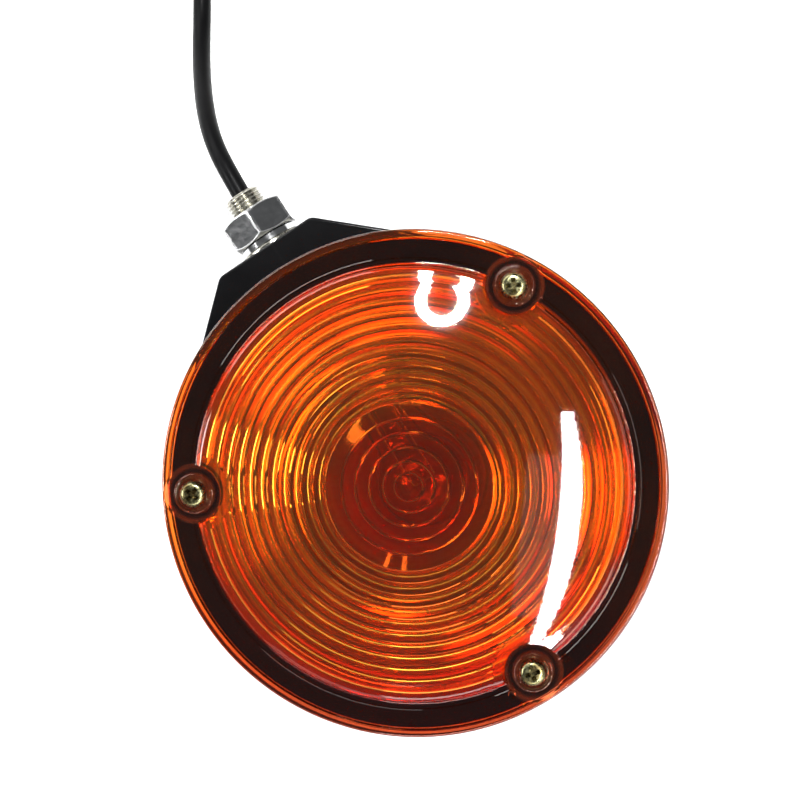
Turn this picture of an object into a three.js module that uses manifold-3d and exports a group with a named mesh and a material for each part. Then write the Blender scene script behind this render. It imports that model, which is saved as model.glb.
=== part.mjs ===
// Double-faced warning lamp on a hollow stud: an amber lens faces front and a red lens faces rear.
// Millimetres, +Z up. The lamp lies on its rear lens, so +Z is the lens axis of the front face
// and the stud points along +Y. The origin is on the lens axis, in the plane the lamp rests on.
import * as THREE from 'three';
import { mergeVertices } from 'three/addons/utils/BufferGeometryUtils.js';
import Module from 'manifold-3d';

const wasm = await Module();
wasm.setup();

// ---------- driving dimensions ----------
// Gaps between pieces that touch or run in each other
const seatGap = 0.2;
const sideGap = 0.4;

// Lenses: heights are measured from the face that sits on the gasket
const lensRadius = 63.5;
const lensHeight = 12.5;
const lensWall = 2.4;
const flangeThickness = 3;
const lipWidth = 2.2;
const lipRise = 1;
const lipRounding = 0.6;
const skirtDepth = 2.4;
const skirtWall = 1.1;
const domeInset = 8.9;
const domeFootRise = 1.3;
const shoulderRadius = 2;
const bullseyeRadius = 20.6;
const screwPocketRadius = 7.6;
const screwSeatRadius = 5.1;
const screwSeatRise = 0.8;

// Housing
const housingDepth = 44;
const housingWall = 2.5;
const rimWidth = 6.1;
const rimThickness = 2.5;
const ledgeWidth = 2.5;
const ledgeThickness = 1.5;
const bossRadius = 5;
const bossLobeRadius = 7.4;
const bossLobeDepth = 4;
const gasketThickness = 1.5;

// Pedestal: the flat that the bracket or fender clamps against
const pedestalRise = 9;
const pedestalWidth = 28;
const pedestalDepth = 38;
const pedestalTopWall = 4;
const pedestalCornerRadius = 1.6;
const pedestalEdge = 0.9;
const pedestalPocketDepth = 26;
const pedestalPocketLength = 19;
const strapSideRoom = 0.9;

// Reflectors
const reflectorSheet = 0.8;
const reflectorHoleRadius = 27;
const reflectorHoleHeight = 13.2;
const reflectorCurve = 1.35;

// Screws that hold the lenses
const screwCircleInset = 6.6;
const screwAngles = [30, 150, 270];
const screwHeadRadius = 3.35;
const screwHeadHeight = 2.3;
const screwCrossLength = 3.85;
const screwCrossWidth = 0.75;
const screwCrossDepth = 1.4;
const screwTurns = [17, 48, 79];
const screwShankRadius = 1.6;
const screwLength = 14;
const screwHoleGap = 0.45;

// Stud, nuts and washers: M10 x 1
const studRadius = 4.9;
const studBoreRadius = 3.4;
const studInnerLength = 13;
const studPitch = 1;
const nutTravelTurns = 5;
const studSpare = 0.3;
const studChamfer = 0.7;
const nutAcrossFlats = 17;
const nutHeight = 8;
const nutChamferSlope = 0.62;
const jamNutHeight = 5;
const flatWasherRadius = 9.2;
const flatWasherThickness = 1.8;
const lockWasherRadius = 8;
const lockWasherThickness = 1.8;
const lockWasherSplit = 1.4;
const lockWasherSplitTurn = 25;

// Bulb: 15 mm bayonet cap and a 25 mm globe. Places along the stud's axis are counted from
// the globe's side towards the stud, from a plane that keeps bulbSetback from the stud's inner end.
const bulbSetback = 58;
const globeRadius = 12.5;
const globeCentre = -1;
const glassWall = 0.6;
const glassNeckGap = 0.6;
const capRadius = 7.5;
const capWall = 0.6;
const capStart = 18;
const capLength = 18;
const glassNeckEnd = 23;
const pinRadius = 1;
const pinStand = 1.1;
const pinPlace = 30;
const tipContactRadius = 2.2;
const tipContactLength = 4;
const tipContactRise = 1.6;
const filamentHalfLength = 2.6;
const filamentRadius = 0.45;
const leadRadius = 0.3;
const leadOffset = 3.2;
const stemRadius = 2.4;
const stemStart = 7;

// Bulb holder
const shellWall = 0.8;
const shellStart = 19.6;
const shellLength = 27;
const bulbPush = 2;
const bulbTurn = 25;
const plungerThickness = 2;
const plungerContactRadius = 1.8;
const plungerContactRise = 0.8;
const plungerContactTail = 0.6;
const backPlateHoleRadius = 1.92;
const terminalFoot = 1;
const terminalRadius = 1.2;
const backPlateThickness = 1.5;
const terminalRise = 2.5;
const springRadius = 4.4;
const springWire = 0.45;
const springTurns = 4;
const strapThickness = 1.2;
const strapWidth = 8;
const strapLegEnd = 34;
const rivetRadius = 1.2;
const rivetPlace = 51.5;
const rivetHeadRise = 0.4;
const tagThickness = 0.6;
const tagWidth = 1.4;

// Cable
const cableRadius = 2.5;
const cableInnerReach = 3.2;
const ferruleRadius = 4.6;
const wireRadius = 0.9;
const earthWireRadius = 0.72;
const coilPlace = { side: 62.9, pastStud: 71 };
const coilOuterRun = 32;
const coilInnerRun = 21.6;
const coilLift = 0.8;
const coilRounding = 1.2;
const tieWidth = 5;
const tieThickness = 0.7;
const tieAngle = 20;
const tieLift = 0;
const coreRadius = 0.95;
const coreSwing = 161.3;
const coreLift = 0.1;
const coreEnds = [
  { name: 'live', start: [15.2, -7.5], turn: [11.5, -10.5], seat: [6.6, -10.2], aim: 176 },
  { name: 'earth', start: [14.6, -4.8], turn: [10.8, -4.2], seat: [6.8, -2.9], aim: 168 },
];
const bulletSleeveRadius = 2.3;
const bulletSleeveLength = 9;
const bulletPinRadius = 1.9;
const bulletPinLength = 9;
// The cable's free stretch, from inside the stud's bore to the coil: how far to the side it is,
// how far past the stud's end, and how high as a share of the drop from the stud to where it lies
const cableRest = 0.6;
const cableRoute = [
  [0, -7.5, 1], [0, -3.5, 1], [0.1, 0.5, 1], [0.3, 4.5, 0.994], [0.5, 9.5, 0.967],
  [0.8, 15.1, 0.904], [1.9, 21.9, 0.772], [3.6, 28.9, 0.589], [5.7, 35.5, 0.399],
  [8.1, 41.7, 0.234], [10.9, 47.5, 0.111], [13.9, 52.8, 0.036], [17, 57.9, 0.006],
  [20.2, 63, 0], [23, 67.5, 0], [25.2, 70.9, 0],
];

// ---------- places worked out from them ----------
const round = 36;
const lensSeat = housingDepth / 2 + seatGap + gasketThickness + seatGap;
const midHeight = lensSeat + lensHeight;
const domeRadius = lensRadius - domeInset;
const housingRadius = lensRadius - skirtWall - sideGap;
const rimInnerRadius = housingRadius - rimWidth;
const ledgeInnerRadius = rimInnerRadius - ledgeWidth;
const screwCircleRadius = housingRadius - screwCircleInset;
const pedestalReach = housingRadius + pedestalRise;
const shoulderHeight = flangeThickness + domeFootRise + shoulderRadius;
const screwHoleRadius = screwShankRadius + screwHoleGap;
const screwHeadSeat = lensSeat + flangeThickness + screwSeatRise + seatGap;
const flatWasherPlace = pedestalReach + seatGap;
const lockWasherPlace = flatWasherPlace + flatWasherThickness + seatGap;
const nutPlace = lockWasherPlace + lockWasherThickness + seatGap;
const studEnd = nutPlace + nutHeight + studPitch * nutTravelTurns + studSpare;
const studStart = pedestalReach - studInnerLength;
const nutBoreRadius = studRadius + seatGap;
const bulbPlace = studStart - bulbSetback;
const strapTop = pedestalReach - bulbPlace - pedestalTopWall - seatGap;
const jamNutPlace = bulbPlace + strapTop - strapThickness - seatGap - jamNutHeight;
const shellInnerRadius = capRadius + sideGap;
const shellRadius = shellInnerRadius + shellWall;
const strapInnerHalf = shellRadius + seatGap;
const strapOuterHalf = strapInnerHalf + strapThickness;
const pinReach = capRadius + pinStand;
const glassNeckRadius = capRadius - capWall - glassNeckGap;
const tipContactEnd = capStart + capLength + tipContactRise;
const plungerPlace = tipContactEnd + seatGap + plungerContactRise;
const shellEnd = shellStart + shellLength;
const backPlatePlace = shellEnd - backPlateThickness;
const springPlace = plungerPlace + plungerThickness + seatGap;
const springLength = backPlatePlace - seatGap - springPlace;
const cableInnerStart = bulbSetback - cableInnerReach;
const cableInnerEnd = bulbSetback + studEnd - studStart + cableRoute[0][1] - sideGap;
const lowestCable = cableRadius + cableRest;
const lampColours = {
  blackPlastic: 0x0c0c0d,
  amber: 0xd8650a,
  red: 0x9c1408,
  rubber: 0x151515,
  brightMetal: 0xd9d9d6,
  zinc: 0xa9adad,
  yellowZinc: 0xcfb46a,
  steel: 0x8f9293,
  brass: 0xc49a45,
  glass: 0xdfe6e6,
  fibre: 0x7a3b1c,
  cable: 0x0b0b0c,
  liveCore: 0x6b3a1a,
  earthCore: 0xe8e8e4,
  sleeve: 0x9c1b18,
};

// ---------- helpers ----------
const lamp = new THREE.Group();
const radians = THREE.MathUtils.degToRad;
const point = (x, y) => new THREE.Vector2(x, y);

function finish(colour, roughness, metalness, opacity = 1) {
  const transparent = opacity < 1;
  return new THREE.MeshStandardMaterial({ color: colour, roughness, metalness, opacity, transparent });
}

const finishes = {
  housing: finish(lampColours.blackPlastic, 0.35, 0),
  frontLens: finish(lampColours.amber, 0.05, 0, 0.75),
  rearLens: finish(lampColours.red, 0.05, 0, 0.8),
  gasket: finish(lampColours.rubber, 0.8, 0),
  reflector: finish(lampColours.brightMetal, 0.2, 1),
  zinc: finish(lampColours.zinc, 0.35, 1),
  screw: finish(lampColours.yellowZinc, 0.3, 1),
  steel: finish(lampColours.steel, 0.4, 1),
  brass: finish(lampColours.brass, 0.3, 1),
  glass: finish(lampColours.glass, 0.03, 0, 0.35),
  fibre: finish(lampColours.fibre, 0.7, 0),
  cable: finish(lampColours.cable, 0.35, 0),
  liveCore: finish(lampColours.liveCore, 0.5, 0),
  earthCore: finish(lampColours.earthCore, 0.5, 0),
  sleeve: finish(lampColours.sleeve, 0.5, 0),
};

// Adds one named piece to a group
function addPiece(name, geometry, material, group = lamp) {
  const piece = new THREE.Mesh(geometry, material);
  piece.name = name;
  group.add(piece);
  return piece;
}

// Turns a geometry into a solid that can be joined and cut
function solidOf(geometry) {
  const bare = geometry.clone();
  bare.deleteAttribute('uv');
  bare.deleteAttribute('normal');
  const merged = mergeVertices(bare, 1e-4);
  const mesh = new wasm.Mesh({
    numProp: 3,
    vertProperties: merged.attributes.position.array,
    triVerts: new Uint32Array(merged.index.array),
  });
  return new wasm.Manifold(mesh);
}

function geometryOf(solid) {
  const mesh = solid.getMesh();
  const geometry = new THREE.BufferGeometry();
  geometry.setAttribute('position', new THREE.BufferAttribute(mesh.vertProperties, 3));
  geometry.setIndex(new THREE.BufferAttribute(mesh.triVerts, 1));
  geometry.computeVertexNormals();
  return geometry;
}

// A turned piece about +Y from (radius, height) pairs that run up its outer side
function turned(pairs, segments = round) {
  return new THREE.LatheGeometry(pairs.map(([radius, height]) => point(radius, height)), segments);
}

// The same about +Z
function turnedUp(pairs, segments = round) {
  return turned(pairs, segments).rotateX(Math.PI / 2);
}

// A plain rod about +Y from one height to another
function rod(radius, from, to, segments = 16) {
  return turned([[0, from], [radius, from], [radius, to], [0, to]], segments);
}

// A plain sleeve about +Y
function sleeve(inner, outer, from, to, segments = 16) {
  return turned([[inner, from], [outer, from], [outer, to], [inner, to], [inner, from]], segments);
}

// A round rod about +Z whose foot is at the given height
function rodUp(radius, from, to, segments = 16) {
  return rod(radius, from, to, segments).rotateX(Math.PI / 2);
}

function block(width, depth, height, x, y, z) {
  return new THREE.BoxGeometry(width, depth, height).translate(x, y, z);
}

function hexagon(acrossFlats) {
  const reach = acrossFlats / Math.sqrt(3);
  const corners = [];
  for (let k = 0; k < 6; k += 1) {
    const angle = radians(60 * k + 90);
    corners.push(point(reach * Math.cos(angle), reach * Math.sin(angle)));
  }
  return new THREE.Shape(corners);
}

// A section of a round cord or wire, as a shape to run along a path
function roundSection(radius, sides) {
  const corners = [];
  for (let k = 0; k < sides; k += 1) {
    const angle = (2 * Math.PI * k) / sides;
    corners.push(point(radius * Math.cos(angle), radius * Math.sin(angle)));
  }
  return new THREE.Shape(corners);
}

function wireAlong(points, radius, steps, sides = 8) {
  const path = new THREE.CatmullRomCurve3(points.map(([x, y, z]) => new THREE.Vector3(x, y, z)));
  const section = roundSection(radius, sides);
  return new THREE.ExtrudeGeometry(section, { steps, extrudePath: path, bevelEnabled: false });
}

// Places round the lens axis where the screws go
function screwPlaces() {
  return screwAngles.map((angle) => [
    screwCircleRadius * Math.cos(radians(angle)),
    screwCircleRadius * Math.sin(radians(angle)),
  ]);
}

// ---------- lenses, gaskets, reflectors and screws of one face ----------
// The dome's face from the crown down to its foot, set in by a wall for the inner face
function domeOutline(inset) {
  const foot = domeRadius - inset;
  const crown = lensHeight - inset;
  const edge = foot - shoulderRadius;
  const low = shoulderHeight - inset;
  const pairs = [[0, crown], [bullseyeRadius, crown]];
  const arcSteps = 3;
  for (let k = 1; k <= arcSteps; k += 1) {
    const radius = bullseyeRadius + ((edge - bullseyeRadius) * k) / arcSteps;
    const fall = (radius ** 2 - bullseyeRadius ** 2) / (edge ** 2 - bullseyeRadius ** 2);
    pairs.push([radius, crown - (crown - low) * fall]);
  }
  for (const angle of [45, 90]) {
    pairs.push([
      edge + shoulderRadius * Math.sin(radians(angle)),
      low - shoulderRadius * (1 - Math.cos(radians(angle))),
    ]);
  }
  return pairs;
}

function makeLens() {
  const lipInner = lensRadius - lipWidth;
  const lipTop = flangeThickness + lipRise;
  const outside = [
    ...domeOutline(0),
    [domeRadius, flangeThickness],
    [lipInner, flangeThickness],
    [lipInner, lipTop],
    [lensRadius - lipRounding, lipTop],
    [lensRadius, lipTop - lipRounding],
    [lensRadius, -skirtDepth],
    [lensRadius - skirtWall, -skirtDepth],
    [lensRadius - skirtWall, 0],
    [0, 0],
  ];
  const below = 1;
  const hollow = [...domeOutline(lensWall), [domeRadius - lensWall, -below], [0, -below]];
  let outer = solidOf(turnedUp(outside.reverse()));
  let inner = solidOf(turnedUp(hollow.reverse()));
  for (const [x, y] of screwPlaces()) {
    const pocket = rodUp(screwPocketRadius, flangeThickness, lensHeight).translate(x, y, 0);
    const wall = rodUp(screwPocketRadius + lensWall, 0, lensHeight).translate(x, y, 0);
    const seatTop = flangeThickness + screwSeatRise;
    const seat = rodUp(screwSeatRadius, flangeThickness / 2, seatTop).translate(x, y, 0);
    outer = outer.subtract(solidOf(pocket)).add(solidOf(seat));
    inner = inner.subtract(solidOf(wall));
  }
  let lens = outer.subtract(inner);
  for (const [x, y] of screwPlaces()) {
    const hole = rodUp(screwHoleRadius, -below, lensHeight, 8).translate(x, y, 0);
    lens = lens.subtract(solidOf(hole));
  }
  return geometryOf(lens);
}

function makeGasket() {
  const outer = lensRadius - skirtWall - sideGap;
  const past = 1;
  const ring = [
    [rimInnerRadius, 0], [outer, 0], [outer, gasketThickness],
    [rimInnerRadius, gasketThickness], [rimInnerRadius, 0],
  ];
  let gasket = solidOf(turnedUp(ring));
  for (const [x, y] of screwPlaces()) {
    const lobe = rodUp(bossLobeRadius - sideGap, 0, gasketThickness).translate(x, y, 0);
    const hole = rodUp(screwHoleRadius, -past, gasketThickness + past, 8).translate(x, y, 0);
    gasket = gasket.add(solidOf(lobe)).subtract(solidOf(hole));
  }
  const trim = rodUp(outer, -past, gasketThickness + past, round);
  return geometryOf(gasket.intersect(solidOf(trim)));
}

// A shallow dish of bright sheet. Heights are measured from the lamp's middle plane.
function makeReflector() {
  const rimOuter = rimInnerRadius - sideGap;
  const rimInner = ledgeInnerRadius - sideGap - reflectorSheet;
  const rimFoot = housingDepth / 2 - rimThickness + seatGap;
  const under = [];
  const steps = 4;
  for (let k = 0; k <= steps; k += 1) {
    const radius = reflectorHoleRadius + ((rimInner - reflectorHoleRadius) * k) / steps;
    const rise = ((radius - reflectorHoleRadius) / (rimInner - reflectorHoleRadius)) ** reflectorCurve;
    under.push([radius, reflectorHoleHeight + (rimFoot - reflectorHoleHeight) * rise]);
  }
  const over = under.map(([radius, height]) => [radius, height + reflectorSheet]).reverse();
  const dish = [
    ...under, [rimOuter, rimFoot], [rimOuter, rimFoot + reflectorSheet], ...over, under[0],
  ];
  let reflector = solidOf(turnedUp(dish));
  for (const [x, y] of screwPlaces()) {
    const scallop = rodUp(bossLobeRadius + sideGap, 0, housingDepth).translate(x, y, 0);
    reflector = reflector.subtract(solidOf(scallop));
  }
  return geometryOf(reflector);
}

// Pan head with a cross recess. Its head sits on height 0.
function makeLensScrew() {
  const sides = 12;
  const outline = [
    [0, -screwLength],
    [screwShankRadius * 0.4, -screwLength],
    [screwShankRadius, -screwLength + 2 * screwShankRadius],
    [screwShankRadius, 0],
    [screwHeadRadius, 0],
    [screwHeadRadius, screwHeadHeight * 0.45],
    [screwHeadRadius * 0.84, screwHeadHeight * 0.85],
    [screwHeadRadius * 0.5, screwHeadHeight],
    [0, screwHeadHeight],
  ];
  const past = 0.2;
  const depth = screwCrossDepth + past;
  const place = screwHeadHeight + past - depth / 2;
  const across = block(screwCrossLength, screwCrossWidth, depth, 0, 0, place);
  const along = block(screwCrossWidth, screwCrossLength, depth, 0, 0, place);
  const screw = solidOf(turnedUp(outline, sides)).subtract(solidOf(across).add(solidOf(along)));
  return geometryOf(screw);
}

// One face of the lamp, looking along +Z from the middle plane
function addFace(side, lensFinish) {
  const face = new THREE.Group();
  face.position.z = midHeight;
  face.rotation.y = side === 'front' ? 0 : Math.PI;
  lamp.add(face);
  addPiece(`${side}_lens`, makeLens(), lensFinish, face).position.z = lensSeat;
  const gasketPlace = housingDepth / 2 + seatGap;
  addPiece(`${side}_gasket`, makeGasket(), finishes.gasket, face).position.z = gasketPlace;
  addPiece(`${side}_reflector`, makeReflector(), finishes.reflector, face);
  screwPlaces().forEach(([x, y], k) => {
    const screw = addPiece(`${side}_lens_screw_${k + 1}`, makeLensScrew(), finishes.screw, face);
    screw.position.set(x, y, screwHeadSeat);
    screw.rotation.z = radians(screwTurns[k]);
  });
}

// ---------- housing ----------
// Outline of the pedestal: its flat, rounded corners and the sides that run tangent to the drum
function pedestalShape() {
  const half = pedestalWidth / 2;
  const reach = Math.hypot(half, pedestalReach);
  const tangentAngle = Math.atan2(pedestalReach, half) - Math.acos(housingRadius / reach);
  const tangentX = housingRadius * Math.cos(tangentAngle);
  const tangentY = housingRadius * Math.sin(tangentAngle);
  const slope = tangentAngle - Math.PI / 2;
  const trim = pedestalCornerRadius * Math.tan(-slope / 2);
  const shape = new THREE.Shape();
  shape.moveTo(tangentX, tangentY);
  shape.lineTo(half + trim * Math.cos(slope), pedestalReach + trim * Math.sin(slope));
  shape.quadraticCurveTo(half, pedestalReach, half - trim, pedestalReach);
  shape.lineTo(-half + trim, pedestalReach);
  shape.quadraticCurveTo(
    -half, pedestalReach,
    -half - trim * Math.cos(slope), pedestalReach + trim * Math.sin(slope),
  );
  shape.lineTo(-tangentX, tangentY);
  return shape;
}

function makeHousing() {
  const half = housingDepth / 2;
  const drum = solidOf(rodUp(housingRadius, -half, half, round));
  const pedestal = new THREE.ExtrudeGeometry(pedestalShape(), {
    depth: pedestalDepth - 2 * pedestalEdge,
    curveSegments: 3,
    bevelThickness: pedestalEdge,
    bevelSize: pedestalEdge,
    bevelOffset: -pedestalEdge,
    bevelSegments: 1,
  }).translate(0, 0, -pedestalDepth / 2 + pedestalEdge);
  const rimFoot = half - rimThickness;
  const ledgeFoot = rimFoot - ledgeThickness;
  const innerRadius = housingRadius - housingWall;
  const past = 1;
  const cavity = turnedUp([
    [0, -half - past], [rimInnerRadius, -half - past], [rimInnerRadius, -rimFoot],
    [ledgeInnerRadius, -rimFoot], [ledgeInnerRadius, -ledgeFoot], [innerRadius, -ledgeFoot],
    [innerRadius, ledgeFoot], [ledgeInnerRadius, ledgeFoot], [ledgeInnerRadius, rimFoot],
    [rimInnerRadius, rimFoot], [rimInnerRadius, half + past], [0, half + past],
  ]);
  const pocketTop = pedestalReach - pedestalTopWall;
  const pocketMiddle = pocketTop - pedestalPocketLength / 2;
  const pocketWidth = 2 * (strapOuterHalf + strapSideRoom);
  const pocket = block(pocketWidth, pedestalPocketLength, pedestalPocketDepth, 0, pocketMiddle, 0);
  const studHole = rod(studRadius + sideGap, pocketTop - past, pedestalReach + past, 24);
  let housing = drum.add(solidOf(pedestal)).subtract(solidOf(cavity));
  housing = housing.subtract(solidOf(pocket)).subtract(solidOf(studHole));
  for (const [x, y] of screwPlaces()) {
    const column = rodUp(bossRadius, -half, half).translate(x, y, 0);
    housing = housing.add(solidOf(column));
    for (const end of [-1, 1]) {
      const lobe = rodUp(bossLobeRadius, 0, bossLobeDepth);
      lobe.translate(x, y, end > 0 ? half - bossLobeDepth : -half);
      housing = housing.add(solidOf(lobe));
    }
  }
  const trim = drum.add(solidOf(pedestal));
  housing = housing.intersect(trim);
  const pilotDepth = screwLength - (screwHeadSeat - half) + 2;
  for (const [x, y] of screwPlaces()) {
    const upper = rodUp(screwHoleRadius, half - pilotDepth, half + past, 8).translate(x, y, 0);
    const lower = rodUp(screwHoleRadius, -half - past, -half + pilotDepth, 8).translate(x, y, 0);
    housing = housing.subtract(solidOf(upper)).subtract(solidOf(lower));
  }
  return geometryOf(housing);
}

// ---------- stud, nuts and washers ----------
function makeNut(height) {
  const reach = nutAcrossFlats / Math.sqrt(3);
  const flat = nutAcrossFlats / 2;
  const past = 0.5;
  const prism = new THREE.ExtrudeGeometry(hexagon(nutAcrossFlats), {
    depth: height,
    bevelEnabled: false,
  });
  prism.rotateX(-Math.PI / 2);
  const corner = reach + past;
  const drop = (corner - flat) * nutChamferSlope;
  const cone = turned([
    [0, 0], [flat, 0], [corner, drop], [corner, height - drop], [flat, height], [0, height],
  ], 24);
  const bore = rod(nutBoreRadius, -past, height + past, 20);
  return geometryOf(solidOf(prism).intersect(solidOf(cone)).subtract(solidOf(bore)));
}

function makeStud() {
  const flat = studRadius - studChamfer;
  return turned([
    [studBoreRadius, studStart], [flat, studStart], [studRadius, studStart + studChamfer],
    [studRadius, studEnd - studChamfer], [flat, studEnd], [studBoreRadius, studEnd],
    [studBoreRadius, studStart],
  ], 20);
}

function makeLockWasher() {
  const ring = sleeve(nutBoreRadius, lockWasherRadius, 0, lockWasherThickness);
  const split = block(lockWasherSplit, lockWasherThickness * 3, lockWasherRadius, 0, 0, 0);
  const across = nutBoreRadius + lockWasherRadius / 2;
  split.rotateZ(radians(lockWasherSplitTurn)).translate(0, lockWasherThickness / 2, across);
  return geometryOf(solidOf(ring).subtract(solidOf(split)));
}

function addStudParts(axis) {
  addPiece('hollow_stud', makeStud(), finishes.zinc, axis);
  addPiece('stud_jam_nut', makeNut(jamNutHeight), finishes.zinc, axis).position.y = jamNutPlace;
  const washer = sleeve(nutBoreRadius, flatWasherRadius, 0, flatWasherThickness);
  addPiece('flat_washer', washer, finishes.zinc, axis).position.y = flatWasherPlace;
  addPiece('lock_washer', makeLockWasher(), finishes.zinc, axis).position.y = lockWasherPlace;
  addPiece('mounting_nut', makeNut(nutHeight), finishes.zinc, axis).position.y = nutPlace;
}

// ---------- bulb ----------
function makeBulbGlass() {
  const outside = [];
  const fillet = 1.2;
  const shoulderLength = 3.5;
  const neckAngle = Math.asin((glassNeckRadius + fillet) / globeRadius);
  const steps = 7;
  for (let k = 0; k <= steps; k += 1) {
    const angle = Math.PI - ((Math.PI - neckAngle) * k) / steps;
    outside.push([globeRadius * Math.sin(angle), globeCentre + globeRadius * Math.cos(angle)]);
  }
  const shoulder = outside[steps][1] + shoulderLength;
  const scale = (globeRadius - glassWall) / globeRadius;
  const inside = outside.map(([radius, place]) => [
    radius * scale,
    globeCentre + (place - globeCentre) * scale,
  ]);
  outside.push([glassNeckRadius, shoulder], [glassNeckRadius, glassNeckEnd]);
  const neckInner = glassNeckRadius - glassWall;
  inside.push([neckInner, shoulder - glassWall / 2], [neckInner, glassNeckEnd]);
  outside[0][0] = 0;
  inside[0][0] = 0;
  return turned([...outside, ...inside.reverse()], 20);
}

function makeBulbCap() {
  const inner = capRadius - capWall;
  const end = capStart + capLength;
  const hole = tipContactRadius + sideGap;
  const cup = turned([
    [inner, capStart], [capRadius, capStart], [capRadius, end], [hole, end],
    [hole, end - capWall], [inner, end - capWall], [inner, capStart],
  ], 20);
  let cap = solidOf(cup);
  for (const side of [-1, 1]) {
    const pin = rodUp(pinRadius, capRadius - capWall / 2, pinReach, 12);
    pin.rotateX(side > 0 ? 0 : Math.PI).translate(0, pinPlace, 0);
    cap = cap.add(solidOf(pin));
  }
  return geometryOf(cap);
}

function addBulb(axis) {
  addPiece('bulb_glass', makeBulbGlass(), finishes.glass, axis);
  addPiece('bulb_cap', makeBulbCap(), finishes.brass, axis);
  const contact = rod(tipContactRadius, tipContactEnd - tipContactLength, tipContactEnd, 16);
  addPiece('bulb_tip_contact', contact, finishes.zinc, axis);
  const stemEnd = glassNeckEnd - 1;
  addPiece('bulb_stem', rod(stemRadius, stemStart, stemEnd, 12), finishes.glass, axis);
  const filament = rod(filamentRadius, -filamentHalfLength, filamentHalfLength, 8);
  filament.rotateZ(Math.PI / 2).translate(0, globeCentre, 0);
  addPiece('bulb_filament', filament, finishes.steel, axis);
  for (const side of [-1, 1]) {
    const lead = rod(leadRadius, globeCentre, stemEnd, 6).translate(side * leadOffset, 0, 0);
    addPiece(side < 0 ? 'bulb_lead_left' : 'bulb_lead_right', lead, finishes.steel, axis);
  }
}

// ---------- bulb holder ----------
// A stretch of the shell's wall, cut out between two angles about the stud's axis
function shellWindow(fromAngle, toAngle, from, to) {
  const past = 1;
  const steps = 4;
  const angles = [];
  for (let k = 0; k <= steps; k += 1) {
    angles.push(radians(fromAngle + ((toAngle - fromAngle) * k) / steps));
  }
  const arc = (radius) => angles.map((a) => point(radius * Math.cos(a), radius * Math.sin(a)));
  const shape = new THREE.Shape([...arc(shellRadius + past), ...arc(shellInnerRadius - past).reverse()]);
  const cutter = new THREE.ExtrudeGeometry(shape, { depth: to - from, bevelEnabled: false });
  return solidOf(cutter.rotateX(-Math.PI / 2).translate(0, from, 0));
}

// The two slots that the bulb's pins go along, in, round and back to their rest
function makeHolderShell() {
  let shell = solidOf(sleeve(shellInnerRadius, shellRadius, shellStart, shellEnd, 24));
  const pinHalf = THREE.MathUtils.radToDeg(Math.asin((pinRadius + sideGap) / shellInnerRadius));
  const slotFrom = pinPlace - pinRadius - sideGap;
  const slotTo = pinPlace + bulbPush + pinRadius + sideGap;
  for (const place of [90, 270]) {
    const rest = place + pinHalf;
    const free = place - bulbTurn - pinHalf;
    shell = shell.subtract(shellWindow(free, rest, slotFrom, slotTo));
    shell = shell.subtract(shellWindow(free, free + 2 * pinHalf, shellStart - 1, slotTo));
  }
  return geometryOf(shell);
}

// The strap runs from under the stud's inner nut down both sides of the shell
function makeHolderStrap() {
  const under = strapTop - strapThickness;
  const past = 1;
  const shape = new THREE.Shape([
    point(-strapOuterHalf, strapLegEnd), point(-strapOuterHalf, strapTop),
    point(strapOuterHalf, strapTop), point(strapOuterHalf, strapLegEnd),
    point(strapInnerHalf, strapLegEnd), point(strapInnerHalf, under),
    point(-strapInnerHalf, under), point(-strapInnerHalf, strapLegEnd),
  ]);
  const legs = new THREE.ExtrudeGeometry(shape, { depth: strapWidth, bevelEnabled: false });
  legs.translate(0, 0, -strapWidth / 2);
  const middle = strapTop - strapThickness / 2;
  const wideTop = block(2 * strapOuterHalf, strapThickness, 2 * strapWidth, 0, middle, 0);
  const studHole = rod(studRadius + sideGap, under - past, strapTop + past, 24);
  const rivetHole = rod(rivetRadius + seatGap, -strapOuterHalf - past, 0, 12).rotateZ(-Math.PI / 2);
  let strap = solidOf(legs).add(solidOf(wideTop)).subtract(solidOf(studHole));
  strap = strap.subtract(solidOf(rivetHole.translate(0, rivetPlace, 0)));
  return geometryOf(strap);
}

function makeSpring() {
  const points = [];
  const perTurn = 8;
  for (let k = 0; k <= springTurns * perTurn; k += 1) {
    const angle = (2 * Math.PI * k) / perTurn;
    const rise = springWire + ((springLength - 2 * springWire) * k) / (springTurns * perTurn);
    points.push([springRadius * Math.cos(angle), springPlace + rise, springRadius * Math.sin(angle)]);
  }
  return wireAlong(points, springWire, springTurns * perTurn, 5);
}

function addHolder(axis) {
  addPiece('holder_shell', makeHolderShell(), finishes.steel, axis);
  addPiece('holder_strap', makeHolderStrap(), finishes.steel, axis);
  const discRadius = shellInnerRadius - sideGap;
  const contactHole = plungerContactRadius + seatGap;
  const plungerEnd = plungerPlace + plungerThickness;
  const disc = sleeve(contactHole, discRadius, plungerPlace, plungerEnd);
  addPiece('plunger_disc', disc, finishes.fibre, axis);
  const contactStart = plungerPlace - plungerContactRise;
  const contact = rod(plungerContactRadius, contactStart, plungerEnd + plungerContactTail, 16);
  addPiece('plunger_contact', contact, finishes.brass, axis);
  addPiece('plunger_spring', makeSpring(), finishes.zinc, axis);
  const plate = sleeve(backPlateHoleRadius, discRadius, backPlatePlace, shellEnd);
  addPiece('holder_back_plate', plate, finishes.fibre, axis);
  const terminal = rod(terminalRadius, backPlatePlace - terminalFoot, shellEnd + terminalRise, 12);
  addPiece('live_terminal', terminal, finishes.brass, axis);
}

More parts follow.
